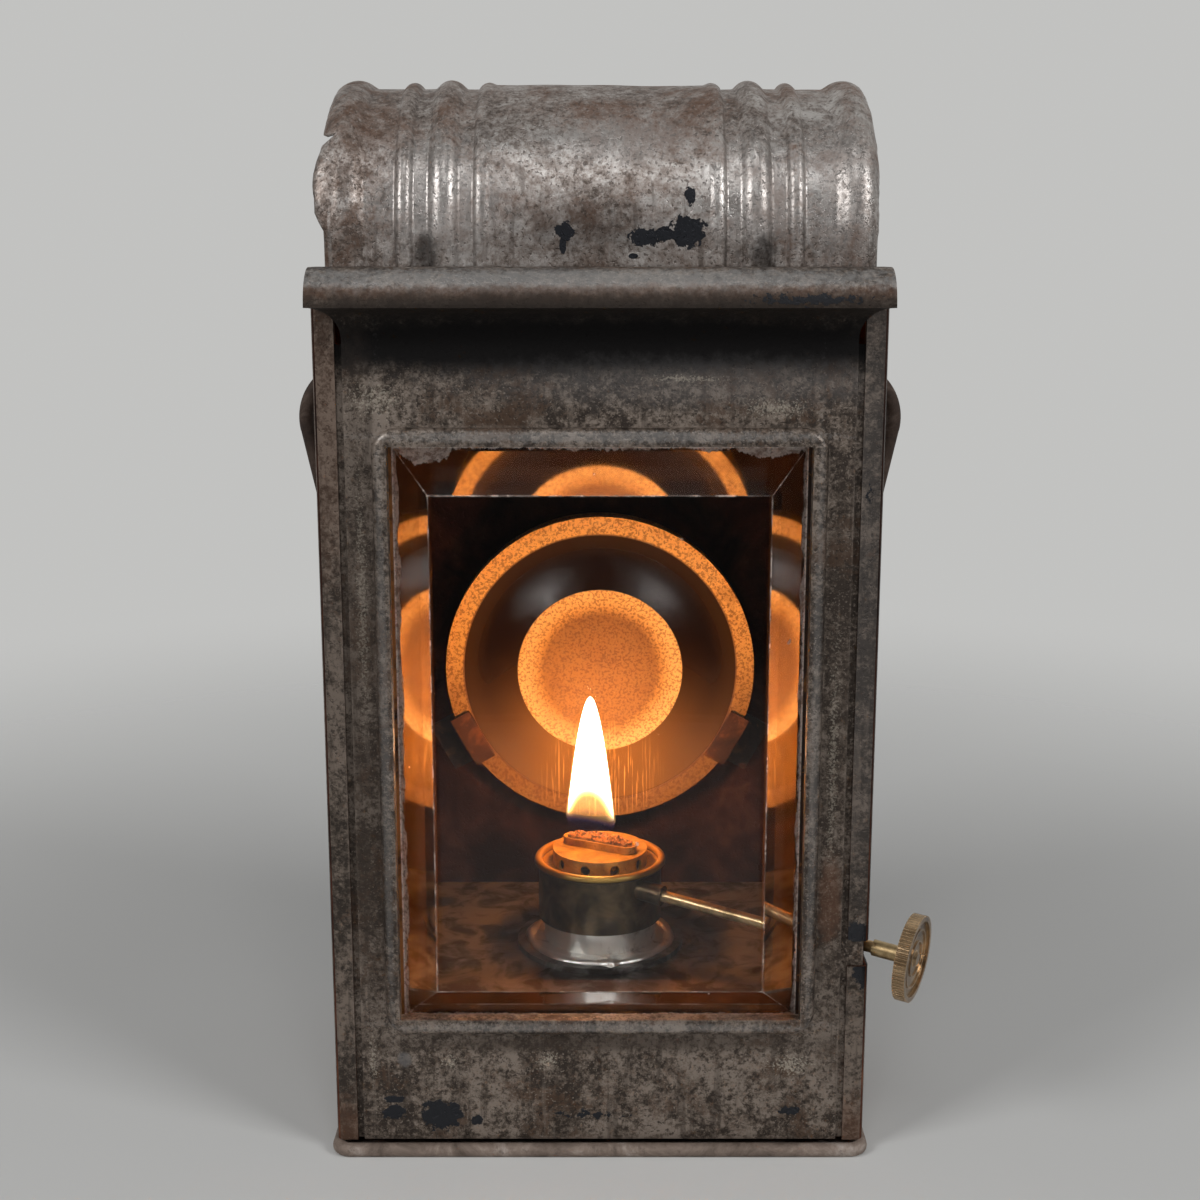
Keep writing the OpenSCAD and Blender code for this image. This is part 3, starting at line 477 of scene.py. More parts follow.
@dataclass(frozen=True)
class PressedTin:
    """Reflector: grainy tin on the flat rim and middle, and a polished slope between them, with painted flame
    light and glints on the slope and painted shade on the rim.
    """

    name: str
    centre_z: float
    middle_r: float
    rim_r: float
    flame_drop_mm: float = 34.0
    streak_drop_mm: float = 25.0
    grainy: Rgb = (0.79, 0.58, 0.24)
    dull: Rgb = (0.130, 0.085, 0.031)
    freckle: Rgb = (0.050, 0.022, 0.009)
    lacquer: Rgb = (0.010, 0.006, 0.0045)
    painted_flame_glow: Rgb = (0.168, 0.110, 0.046)

    def make(self) -> bpy.types.Material:
        """Builds the material.

        Returns:
            The finished material.
        """
        recipe = Recipe(self.name)
        across, up = recipe.axis("X"), recipe.minus(recipe.axis("Z"), self.centre_z)
        square = recipe.math("ADD", recipe.times(across, across), recipe.times(up, up))
        radius = recipe.math("SQRT", square)
        soft = 0.15 * MM
        in_middle = recipe.band(radius, self.middle_r + soft, self.middle_r - soft)
        in_rim = recipe.band(radius, self.rim_r - soft, self.rim_r + soft)
        flat = recipe.math("MAXIMUM", in_middle, in_rim)

        grain = recipe.noise(1800.0, 3.0, 0.6)
        core = recipe.band(radius, 0.98 * self.middle_r, 0.66 * self.middle_r)
        # Painted shade: the rim is made duller towards its foot.
        foot = recipe.times(in_rim, recipe.band(up, 30.0 * MM, -20.0 * MM))
        tint = recipe.mix(recipe.math("MAXIMUM", core, foot), self.grainy, self.dull)
        tint = recipe.mix(recipe.band(grain, 0.47, 0.59, 0.62), tint, self.freckle)
        blotch = recipe.band(recipe.noise(120.0, 6.0, 0.62, 0.5), 0.54, 0.74, 0.4)
        tint = recipe.mix(blotch, tint, self.freckle)

        # Painted flame light: the slope is warmed near the flame and towards its outer edge, as if reflecting
        # the lit burner and rim.
        flame = recipe.reach((0.0, 0.0, self.centre_z / MM - self.flame_drop_mm), (37.0, ALL_MM, 38.0))
        slope = recipe.mix(recipe.band(flame, 1.3, 0.2), self.lacquer, self.painted_flame_glow)
        outer = recipe.band(radius, self.rim_r - 6.0 * MM, self.rim_r - 0.5 * MM, 0.2)
        slope = recipe.mix(outer, slope, self.painted_flame_glow)
        colour = recipe.mix(flat, slope, tint)
        # Painted shade: a dark line along the groove where the slope meets the rim.
        off_rim = recipe.math("ABSOLUTE", recipe.minus(radius, self.rim_r))
        painted_crease_shade = recipe.band(off_rim, 0.45 * MM, 0.1 * MM, 0.7)
        colour = recipe.mix(painted_crease_shade, colour, self.freckle)
        # Painted glints: fine scratches below the middle are coloured bright, as if catching the flame.
        streak = recipe.noise(60.0, 4.0, 0.6, 0.12, stretch=(40.0, 1.0, 1.0))
        below = recipe.reach((0.0, 0.0, self.centre_z / MM - self.streak_drop_mm), (14.0, ALL_MM, 12.0))
        near = recipe.band(below, 1.2, 0.3)
        lit = recipe.times(recipe.band(streak, 0.53, 0.60, 0.85), near)
        colour = recipe.mix(lit, colour, self.grainy)
        return recipe.surface(
            Base_Color=colour,
            Metallic=recipe.blend(flat, 0.4, 0.1),
            Roughness=recipe.blend(flat, recipe.spread(grain, 0.17, 0.26), 0.66),
            Normal=recipe.bump(recipe.times(grain, flat), 0.12 * MM, 0.7),
        )


@dataclass(frozen=True)
class OldBrass:
    """Brass with brown tarnish in the hollows and bright rubbed edges, and painted flame light above a given
    height.
    """

    name: str
    bright: Rgb = (0.50, 0.35, 0.16)
    middle: Rgb = (0.25, 0.165, 0.075)
    tarnish: Rgb = (0.070, 0.045, 0.026)
    smooth: float = 0.24
    rough: float = 0.5
    tarnished: float = 0.5
    metallic: float = 0.9
    glow_above: float = 1.0
    painted_glow: Rgb = (0.56, 0.34, 0.08)

    def make(self) -> bpy.types.Material:
        """Builds the material.

        Returns:
            The finished material.
        """
        recipe = Recipe(self.name)
        clouds = recipe.noise(150.0, 6.0, 0.62, 0.5)
        fine = recipe.noise(1400.0, 3.0)
        low = self.tarnished - 0.18
        stops = ((low, self.tarnish), (self.tarnished, self.middle), (self.tarnished + 0.2, self.bright))
        colour = recipe.ramp(clouds, stops)
        colour = recipe.mix(recipe.band(fine, 0.60, 0.72, 0.5), colour, self.tarnish)
        rubbed = recipe.times(recipe.edges(0.35 * MM), 0.8)
        colour = recipe.mix(rubbed, colour, self.bright)
        # Painted flame light: above the given height the brass is coloured bright orange, as if lit by the
        # flame.
        top = recipe.band(recipe.axis("Z"), self.glow_above - 0.3 * MM, self.glow_above + 0.3 * MM, 0.9)
        colour = recipe.mix(top, colour, self.painted_glow)
        rough = recipe.blend(rubbed, recipe.spread(clouds, self.rough, self.smooth), self.smooth)
        normal = recipe.bump(fine, 0.05 * MM, 0.6)
        return recipe.surface(Base_Color=colour, Metallic=self.metallic, Roughness=rough, Normal=normal)


@dataclass(frozen=True)
class RustedIron:
    """Iron wire and plate under a coat of brown rust."""

    name: str
    dark: Rgb = (0.020, 0.013, 0.010)
    brown: Rgb = (0.075, 0.045, 0.030)
    pale: Rgb = (0.17, 0.125, 0.10)

    def make(self) -> bpy.types.Material:
        """Builds the material.

        Returns:
            The finished material.
        """
        recipe = Recipe(self.name)
        clouds = recipe.noise(110.0, 8.0, 0.7, 0.5)
        fine = recipe.noise(700.0, 4.0, 0.65)
        colour = recipe.ramp(clouds, ((0.32, self.dark), (0.52, self.brown), (0.74, self.pale)))
        colour = recipe.mix(recipe.band(fine, 0.58, 0.7, 0.5), colour, self.dark)
        normal = recipe.bump(fine, 0.25 * MM, 0.7)
        rough = recipe.spread(clouds, 0.85, 0.55)
        return recipe.surface(Base_Color=colour, Metallic=0.35, Roughness=rough, Normal=normal)


@dataclass(frozen=True)
class BrightTin:
    """Tin and solder that have stayed bright."""

    name: str
    bright: Rgb = (0.50, 0.49, 0.46)
    dull: Rgb = (0.12, 0.10, 0.085)
    rust: Rgb = (0.16, 0.085, 0.045)
    dull_from: float = 0.50

    def make(self) -> bpy.types.Material:
        """Builds the material.

        Returns:
            The finished material.
        """
        recipe = Recipe(self.name)
        clouds = recipe.noise(130.0, 6.0, 0.6, 0.8)
        fine = recipe.noise(900.0, 3.0)
        dulled = recipe.band(clouds, self.dull_from - 0.1, self.dull_from + 0.12)
        colour = recipe.mix(dulled, self.bright, self.dull)
        rusty = recipe.band(recipe.noise(80.0, 7.0, 0.68, shift=(6.0, 2.0, 1.0)), 0.56, 0.68, 0.8)
        colour = recipe.mix(rusty, colour, self.rust)
        rough = recipe.spread(clouds, 0.2, 0.55)
        normal = recipe.bump(recipe.noise(240.0, 4.0), 0.35 * MM, 0.6, recipe.bump(fine, 0.05 * MM, 0.5))
        return recipe.surface(Base_Color=colour, Metallic=0.85, Roughness=rough, Normal=normal)


@dataclass(frozen=True)
class GroundGlass:
    """Clear thick glass with dusty ground bevels and a chipped, stained rim, with painted highlights along
    the bevel edges and the rim's crust made pale as painted light.
    """

    name: str
    half_w: float
    low_z: float
    high_z: float
    back_y: float
    land: float = 1.7 * MM
    bevel_side: float = 7.4 * MM
    bevel_end: float = 8.4 * MM
    tint: Rgb = (0.975, 0.985, 0.978)
    # Painted light: the rim's crust is made pale to stand for light it gets from behind the border.
    painted_lit_chip: Rgb = (0.80, 0.68, 0.61)
    stain: Rgb = (0.36, 0.25, 0.20)
    dust: Rgb = (0.60, 0.42, 0.32)
    dusty: float = 0.035
    ground_tint: Rgb = (0.72, 0.69, 0.66)
    highlight_line: float = 0.4
    gloss: Rgb = (0.48, 0.46, 0.45)
    left: float = 2.6 * MM
    right: float = 2.2 * MM
    top: float = 1.9 * MM
    foot: float = 2.0 * MM
    chips_mm: tuple[tuple[float, float, float], ...] = ((-34.5, 6.6, 4.4), (34.0, 10.0, 3.2))

    def make(self) -> bpy.types.Material:
        """Builds the material.

        Returns:
            The finished material.
        """
        recipe = Recipe(self.name)
        across, up = recipe.axis("X"), recipe.axis("Z")
        insets = (
            recipe.math("ADD", across, self.half_w),
            recipe.minus(self.half_w, across),
            recipe.minus(self.high_z, up),
            recipe.minus(up, self.low_z),
        )
        rim_w = (self.left, self.right, self.top, self.foot)
        side_w, end_w = self.land + self.bevel_side, self.land + self.bevel_end
        bevel_w = (side_w, side_w, end_w, end_w)
        to_clear = self.least(recipe, insets, rim_w)
        for x, wide, tall in self.chips_mm:
            off = recipe.reach((x, 0.0, self.high_z / MM), (wide, ALL_MM, tall))
            depth = recipe.times(recipe.minus(off, 1.0), tall * MM)
            to_clear = recipe.math("MINIMUM", to_clear, depth)
        ground = recipe.band(self.least(recipe, insets, bevel_w), 0.03 * MM, -0.03 * MM)
        beside = recipe.band(self.least(recipe, insets[:2], bevel_w[:2]), 0.03 * MM, -0.03 * MM)

        comb = recipe.noise(150.0, 3.0, 0.6, stretch=(7.0, 1.0, 1.0))
        scallop = recipe.blend(0.4, recipe.noise(120.0, 4.0, 0.55), comb)
        scallop = recipe.spread(scallop, -2.2 * MM, 2.2 * MM)
        dirt = recipe.noise(620.0, 5.0, 0.7)
        chips_and_highlights = recipe.band(recipe.math("ADD", to_clear, scallop), 0.2 * MM, -0.2 * MM)
        chips_and_highlights = recipe.times(chips_and_highlights, recipe.band(dirt, 0.28, 0.45, 0.95))
        # Painted highlights: thin pale lines along the bevel edges and where the bevels meet.
        chips_and_highlights = recipe.math("MAXIMUM", chips_and_highlights, recipe.times(recipe.edges(0.3 * MM), 0.3))
        specks = recipe.band(recipe.noise(330.0, 2.0, 0.5, shift=(5.0, 1.0, 2.0)), 0.775, 0.80, 0.7)
        chips_and_highlights = recipe.math("MAXIMUM", chips_and_highlights, specks)
        chips_and_highlights = recipe.math("MAXIMUM", chips_and_highlights, self.painted_highlight_lines(recipe, insets))

        feeds = {
            "Base Color": recipe.mix(beside, self.tint, self.ground_tint),
            "Roughness": recipe.times(ground, 0.07),
            "IOR": 1.5,
            "Specular Tint": self.gloss,
            "Transmission Weight": 1.0,
        }
        glass = recipe.node("ShaderNodeBsdfPrincipled", feeds).outputs[0]
        glow = recipe.node("ShaderNodeBsdfTranslucent", {"Color": self.dust}).outputs[0]
        film = recipe.times(ground, recipe.spread(comb, 0.5 * self.dusty, 1.5 * self.dusty))
        veiled = recipe.node("ShaderNodeMixShader", {0: film, 1: glass, 2: glow}).outputs[0]
        crust = recipe.mix(recipe.band(dirt, 0.45, 0.62), self.painted_lit_chip, self.stain)
        rim = recipe.node("ShaderNodeBsdfPrincipled", {"Base Color": crust, "Roughness": 0.7}).outputs[0]
        return recipe.ends_in(recipe.node("ShaderNodeMixShader", {0: chips_and_highlights, 1: veiled, 2: rim}))

    def painted_highlight_lines(self, recipe: Recipe, insets: Sequence[Socket]) -> Socket:
        """Paints fine highlight lines where the ground bevels meet each other and the flat middle.

        Args:
            recipe: The material's tree.
            insets: Distance from each edge of the pane.

        Returns:
            The strength of the lines.
        """
        across = recipe.minus(recipe.math("MINIMUM", insets[0], insets[1]), self.land)
        along = recipe.minus(recipe.math("MINIMUM", insets[2], insets[3]), self.land)
        side = recipe.math("DIVIDE", across, self.bevel_side)
        end = recipe.math("DIVIDE", along, self.bevel_end)
        nearer = recipe.math("MINIMUM", side, end)
        inner = recipe.math("ABSOLUTE", recipe.minus(nearer, 1.0))
        mitre = recipe.math("ABSOLUTE", recipe.minus(side, end))
        mitre = recipe.math("ADD", mitre, recipe.band(nearer, 0.98, 1.02))
        thin, thick = 0.010, 0.032
        # Noise breaks the painted highlight lines up.
        worn = recipe.band(recipe.noise(260.0, 3.0, shift=(7.0, 3.0, 1.0)), 0.40, 0.62, self.highlight_line)
        front = recipe.band(recipe.axis("Y"), self.back_y - 0.6 * MM, self.back_y - 1.0 * MM)
        lines = recipe.band(recipe.math("MINIMUM", inner, mitre), thick, thin)
        return recipe.times(lines, recipe.times(worn, front))

    @staticmethod
    def least(recipe: Recipe, insets: Sequence[Socket], widths: Sequence[float]) -> Socket:
        """Gives how far a place lies inside bands of these widths along the pane's edges.

        Args:
            recipe: The material's tree.
            insets: Distance from each edge of the pane.
            widths: Width of the band along each edge.

        Returns:
            The least distance to a band, below 0 in a band.
        """
        found = recipe.minus(insets[0], widths[0])
        for inset, width in zip(insets[1:], widths[1:]):
            found = recipe.math("MINIMUM", found, recipe.minus(inset, width))
        return found


@dataclass(frozen=True)
class WovenCotton:
    """Flat woven wick, charred and glowing where it burns."""

    name: str
    top_z: float
    cream: Rgb = (0.42, 0.31, 0.19)
    char: Rgb = (0.26, 0.115, 0.035)
    soot: Rgb = (0.020, 0.008, 0.004)
    ember: Rgb = (1.0, 0.26, 0.04)

    def make(self) -> bpy.types.Material:
        """Builds the material.

        Returns:
            The finished material.
        """
        recipe = Recipe(self.name)
        rows = recipe.noise(900.0, 2.0, 0.5, stretch=(1.0, 1.0, 2.2))
        up = recipe.math("ADD", recipe.axis("Z"), recipe.spread(recipe.noise(500.0), -0.6 * MM, 0.6 * MM))
        burnt = recipe.band(up, self.top_z - 3.0 * MM, self.top_z - 1.2 * MM)
        cloth = recipe.mix(recipe.band(rows, 0.4, 0.6, 0.6), self.cream, (0.24, 0.17, 0.10))
        crumbs = recipe.noise(1300.0, 4.0, 0.6, shift=(3.0, 1.0, 5.0))
        charred = recipe.mix(recipe.band(crumbs, 0.44, 0.58), self.soot, self.char)
        colour = recipe.mix(burnt, cloth, charred)
        glow = recipe.band(recipe.noise(650.0, 4.0, 0.6, shift=(1.0, 2.0, 7.0)), 0.54, 0.68, 0.9)
        lit = recipe.times(glow, recipe.band(up, self.top_z - 1.6 * MM, self.top_z - 0.4 * MM))
        return recipe.surface(
            Base_Color=colour,
            Roughness=0.95,
            Sheen_Weight=0.3,
            Emission_Color=self.ember,
            Emission_Strength=lit,
            Normal=recipe.bump(rows, 0.3 * MM, 0.8),
        )


@dataclass(frozen=True)
class FlameGlow:
    """Burning gas that gives light, lets light through and is hollow over the wick."""

    name: str
    hollow_mm: Triple
    hollow_radii_mm: Triple
    stops: tuple[tuple[float, Rgb], ...]
    power: float
    cover: float
    inside: float
    foot_z: float
    fade: float

    def make(self) -> bpy.types.Material:
        """Builds the material.

        Returns:
            The finished material.
        """
        recipe = Recipe(self.name)
        away = recipe.reach(self.hollow_mm, self.hollow_radii_mm)
        colour = recipe.ramp(recipe.band(away, 0.75, 2.2), self.stops)
        shown = recipe.blend(recipe.band(away, 0.8, 1.25), self.inside, self.cover)
        risen = recipe.band(recipe.axis("Z"), self.foot_z, self.foot_z + self.fade, self.power)
        strength = recipe.times(shown, risen)
        light = recipe.node("ShaderNodeEmission", {"Color": colour, "Strength": strength}).outputs[0]
        clear = recipe.node("ShaderNodeBsdfTransparent").outputs[0]
        return recipe.ends_in(recipe.node("ShaderNodeAddShader", {0: clear, 1: light}))


class Finish(Protocol):
    """Whatever can build a material."""

    def make(self) -> bpy.types.Material:
        """Builds the material."""


def dress(names: Sequence[str], finish: Finish) -> None:
    """Gives CAD nodes a finish.

    Args:
        names: The nodes.
        finish: Their new finish.
    """
    material = finish.make()
    for name in names:
        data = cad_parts[name].data
        data.materials.clear()
        data.materials.append(material)
        log.info("dressed %s with %s", name, material.name)


def add_piece(
    name: str,
    points: Sequence[Sequence[float]],
    faces: Sequence[Sequence[int]],
    finish: Finish,
    body: str,
) -> bpy.types.Object:
    """Adds a smooth mesh to the lantern.

    Args:
        name: Name of the piece.
        points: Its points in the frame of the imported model.
        faces: Its faces, as places in the list of points.
        finish: Its finish.
        body: The CAD body that it moves with.

    Returns:
        The new piece.
    """
    mesh = bpy.data.meshes.new(name)
    mesh.from_pydata([tuple(p) for p in points], [], faces)
    mesh.update()
    mesh.shade_smooth()
    mesh.materials.append(finish.make())
    piece = bpy.data.objects.new(name, mesh)
    bpy.context.scene.collection.objects.link(piece)
    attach(piece, body)
    log.info("added %s: %d faces on %s", name, len(faces), body)
    return piece


def grid_faces(rows: int, columns: int, ring: bool = False) -> list[tuple[int, ...]]:
    """Joins rows of points into quads.

    Args:
        rows: Number of rows.
        columns: Points in a row.
        ring: Whether each row closes on itself.

    Returns:
        The faces.
    """
    last = columns if ring else columns - 1
    return [
        (r + c, r + (c + 1) % columns, r + columns + (c + 1) % columns, r + columns + c)
        for r in range(0, (rows - 1) * columns, columns)
        for c in range(last)
    ]


def wander(x: float, y: float, z: float, scale: float) -> float:
    """Gives a smooth noise from about -1 to 1 at a place."""
    return noise.noise(Vector((x, y, z)) * scale)


@dataclass
class Body:
    """Walls, base, handle plate, and the smoked sheets inside."""

    wall_half_mm: tuple[float, float] = (54.7, 37.7)

    def dress(self) -> None:
        """Gives the body's nodes their finishes."""
        shell = AgedTin(
            "stained_tin_walls",
            pale=(0.19, 0.150, 0.122),
            middle=(0.092, 0.071, 0.056),
            dark=(0.036, 0.027, 0.021),
            rust=(0.092, 0.052, 0.034),
            contrast=1.5,
            inside_mm=self.wall_half_mm,
            patches=(
                Patch(Stain.RUST, (0.0, 0.0, 3.0), (160.0, 120.0, 9.0), 0.9, 0.5, 0.4),
                Patch(Stain.GRIME_AND_SHADE, (0.0, 10.0, 173.0), (160.0, 46.0, 8.0), 0.8, 0.6, 0.45),
                Patch(Stain.FLAKE, (52.8, -38.0, 48.6), (4.4, 6.0, 2.2), 1.1, 0.04, grain=900.0),
                Patch(Stain.FLAKE, (54.0, -38.0, 40.0), (1.8, 4.0, 3.4), 1.1, 0.04, grain=900.0),
                Patch(Stain.RUST, (-53.0, -38.0, 150.0), (5.0, 5.0, 26.0), 0.9, 0.4, 0.22),
                Patch(Stain.BLOOM, (53.0, -38.0, 120.0), (6.0, 6.0, 60.0), 0.6, 0.5, 0.2),
                Patch(Stain.FLAKE, (52.0, -38.0, 139.0), (1.5, 4.0, 3.4), 1.8, 0.04, 1.0, 1300.0, 0.9),
            ),
        )
        dress(["body_shell"], shell)
        dress(["handle_plate", "handle_rivets"], RustedIron("rusted_iron"))
        base = RustedIron(
            "base_iron",
            dark=(0.070, 0.050, 0.038),
            brown=(0.22, 0.168, 0.137),
            pale=(0.48, 0.43, 0.39),
        )
        dress(["base_plate"], base)
        dress(
            [
                "slide_guide_left",
                "slide_guide_right",
                "flue_plate",
                "smoke_baffle",
                "hood_end_left",
                "hood_end_right",
                "reflector_clip_left",
                "reflector_clip_right",
                "fount_tank",
            ],
            Smoked("smoked_tin"),
        )


@dataclass
class Hood:
    """Ribbed barrel hood, rolled over at its ends, dented and torn."""

    barrel_in: float = 32.0 * MM
    barrel_rise: float = 0.9 * MM
    narrow_rib: tuple[float, float] = (1.8 * MM, 1.3 * MM)
    broad_rib: tuple[float, float] = (3.3 * MM, 1.7 * MM)
    end_bead: tuple[float, float] = (5.0 * MM, 1.7 * MM)
    broad_rib_in: float = 24.5 * MM
    outer_rib_in: float = 16.8 * MM
    skirt: float = 6.0 * MM
    sheet: float = 0.7 * MM
    blend: float = 0.9 * MM
    dent: float = 0.35 * MM
    columns: int = 340
    rows: int = 120
    notch_angle: float = 39.0
    notch_width: float = 1.5
    notch_depth: float = 3.4 * MM
    tongue_from: float = 0.35
    tongue_rise: float = 2.4 * MM
    box: tuple[Vector, Vector] = field(default_factory=lambda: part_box("hood"))

    def __post_init__(self) -> None:
        """Takes the hood's axis and reach from the CAD node's box."""
        low, high = self.box
        self.half = high.x
        self.reach = (high.y - low.y) / 2
        self.axis_y = (high.y + low.y) / 2
        self.axis_z = low.z + self.skirt
        self.band_r = self.reach - self.broad_rib[1]

    @staticmethod
    def soft_max(a: float, b: float, width: float) -> float:
        """Gives the larger of two numbers, with a fillet where they cross."""
        share = max(0.0, min(1.0, 0.5 + 0.5 * (a - b) / width))
        return b + (a - b) * share + width * share * (1.0 - share)

    def radius(self, x: float) -> float:
        """Finds the hood's outside radius, with its ribs and end beads.

        Args:
            x: Place along the hood, 0 in its middle.

        Returns:
            The radius.
        """
        away = abs(x)
        bead_x = self.half - self.end_bead[0]
        found = self.band_r if away < bead_x else 0.0
        if away < self.half - self.barrel_in:
            found = self.band_r + self.barrel_rise
        ribs = (
            (self.half - self.barrel_in, self.narrow_rib),
            (self.half - self.broad_rib_in, self.broad_rib),
            (self.half - self.outer_rib_in, self.narrow_rib),
            (bead_x, self.end_bead),
        )
        for place, (r, rise) in ribs:
            off = away - place
            if abs(off) < r:
                top = self.band_r + rise - r + math.sqrt(r * r - off * off)
                found = top if off > 0 and place == bead_x else self.soft_max(found, top, self.blend)
        return found

    def end_cut(self, side: int, angle: float) -> float:
        """Gives how far the torn edge stands back from the hood's end.

        Args:
            side: -1 for the left end, 1 for the right.
            angle: Degrees round the hood, from 0 at the front to 180 at the back.

        Returns:
            The depth of the tear.
        """
        spot = angle * 0.09 + side * 7.3
        cut = 0.5 * MM + 0.45 * MM * wander(spot, 0.4, 2.0, 1.0) + 0.25 * MM * wander(spot, 3.0, 1.0, 4.3)
        if side < 0:
            off = (angle - self.notch_angle) / self.notch_width
            cut += self.notch_depth * math.exp(-(off**2))
            cut += 1.3 * MM * max(0.0, 1.0 - abs(angle - 3.0) / 7.0)
            cut += 1.2 * MM / (1.0 + math.exp(-(angle - 58.0) / 6.0))
        else:
            cut += 2.0 * MM / (1.0 + math.exp(-(angle - 60.0) / 9.0))
            cut += 0.7 * MM * max(0.0, 1.0 - angle / 12.0)
        return max(cut, 0.05 * MM)

    def build(self) -> None:
        """Builds the hood's dented skin and stands it for the CAD hood."""
        points: list[Triple] = []
        bead_x = self.half - self.end_bead[0]
        for row in range(self.rows):
            angle, drop = self.station(row)
            turn = math.radians(angle)
            for column in range(self.columns):
                x = -self.half + 2 * self.half * column / (self.columns - 1)
                side = -1 if x < 0 else 1
                past = (abs(x) - bead_x) / self.end_bead[0]
                lip = abs(x)
                if past > 0:
                    lip = bead_x + past * (self.end_bead[0] - self.end_cut(side, angle))
                r = self.radius(lip)
                r -= self.dent * (0.7 - 0.7 * wander(x, angle * 0.0006, 0.3, 46.0))
                r += 0.3 * self.dent * wander(x, angle * 0.0006, 0.9, 150.0)
                bend = self.bent_tongue(x, angle, past)
                r += bend
                points.append((
                    side * (lip + bend),
                    self.axis_y - r * math.cos(turn),
                    self.axis_z + r * math.sin(turn) - drop,
                ))
        faces = grid_faces(self.rows, self.columns)
        skin = add_piece("hood_skin", points, faces, self.finish(), "body")
        thick = skin.modifiers.new("sheet", "SOLIDIFY")
        thick.thickness = self.sheet
        thick.offset = -1.0
        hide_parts("hood")

    def station(self, row: int) -> tuple[float, float]:
        """Places a row of points on the hood's section.

        Args:
            row: Number of the row, from the front skirt to the back skirt.

        Returns:
            Degrees round the hood, and the drop below its axis.
        """
        skirt_rows = 5
        if row < skirt_rows:
            return 0.0, self.skirt * (1.0 - row / skirt_rows)
        if row >= self.rows - skirt_rows:
            return 180.0, self.skirt * (1.0 - (self.rows - 1 - row) / skirt_rows)
        return 180.0 * (row - skirt_rows) / (self.rows - 1 - 2 * skirt_rows), 0.0

    def bent_tongue(self, x: float, angle: float, past: float) -> float:
        """Bends the torn tongue at the left end outward.

        Args:
            x: Place along the hood.
            angle: Degrees round the hood.
            past: Place across the end bead, from 0 on its crest to 1 at its edge.

        Returns:
            How far the sheet is bent.
        """
        if x > 0 or past < self.tongue_from or angle > self.notch_angle:
            return 0.0
        along = math.sin(math.pi * min(1.0, angle / self.notch_angle))
        return self.tongue_rise * along * (past - self.tongue_from) ** 1.5

    def finish(self) -> AgedTin:
        """Gathers the hood's stains, flakes and painted highlights.

        Returns:
            The finish.
        """
        return AgedTin(
            "rust_bloomed_hood",
            pale=(0.53, 0.50, 0.475),
            middle=(0.275, 0.235, 0.211),
            dark=(0.095, 0.073, 0.061),
            speckle=0.3,
            rust=(0.175, 0.102, 0.070),
            rust_from=0.46,
            rust_soft=0.17,
            metallic=0.8,
            smooth=0.25,
            rough=0.52,
            worn=0.7,
            patches=(
                # Painted highlights: the shine on the crown and along the ribs is partly rubbed metal and
                # partly highlight where the lamps catch them.
                Patch(Stain.RUBBED_AND_HIGHLIT, (4.0, -20.0, 206.0), (14.0, 20.0, 4.5), 1.6, 0.5, 0.3, 520.0),
                Patch(Stain.RUBBED_AND_HIGHLIT, (-31.5, -28.0, 196.0), (12.0, 20.0, 11.0), 1.2, 0.5, 0.45, 700.0),
                Patch(Stain.RUBBED_AND_HIGHLIT, (31.0, -28.0, 196.0), (12.0, 20.0, 11.0), 1.2, 0.5, 0.36, 700.0),
                Patch(Stain.RUBBED_AND_HIGHLIT, (47.0, -28.0, 198.0), (9.0, 20.0, 14.0), 1.2, 0.6, 0.35, 700.0),
                Patch(Stain.GRIME_AND_SHADE, (-2.0, -33.0, 184.0), (58.0, 20.0, 6.0), 0.8, 0.7, 0.34, 700.0),
                Patch(Stain.RUST, (-45.0, -20.0, 207.0), (6.0, 20.0, 7.0), 1.0, 0.7, 0.18, 600.0),
                Patch(Stain.RUST, (0.0, 5.0, 222.0), (70.0, 30.0, 8.0), 0.6, 0.6, 0.14, 500.0),
                Patch(Stain.SOOT_AND_SHADE, (-2.0, -28.0, 190.0), (15.0, 20.0, 4.5), 1.2, 0.6, 0.35, 500.0),
                Patch(Stain.SOOT_AND_SHADE, (-33.8, -28.0, 184.0), (2.4, 20.0, 4.0), 0.8, 0.5, 0.6),
                Patch(Stain.SOOT_AND_SHADE, (31.8, -28.0, 184.0), (2.4, 20.0, 4.0), 0.8, 0.5, 0.6),
                *self.flakes(),
            ),
        )

    @staticmethod
    def flakes() -> tuple[Patch, ...]:
        """Scatters black flakes over the front.

        Returns:
            Patches from rows of middle X and Z, half width and height, raggedness and grain.
        """
        places = (
            (-6.9, 188.6, 1.9, 1.7, 0.8, 700.0),
            (-7.2, 186.2, 0.7, 1.9, 0.7, 700.0),
            (8.8, 187.5, 3.0, 1.7, 1.0, 700.0),
            (12.6, 188.0, 2.8, 1.3, 1.0, 700.0),
            (17.0, 188.6, 3.3, 3.0, 1.0, 700.0),
            (17.4, 195.4, 1.1, 1.8, 1.1, 700.0),
            (6.4, 183.9, 0.9, 0.5, 0.6, 420.0),
        )
        return tuple(
            Patch(Stain.FLAKE, (x, -28.0, z), (wide, 26.0, tall), ragged, 0.03, grain=grain)
            for x, z, wide, tall, ragged, grain in places
        )


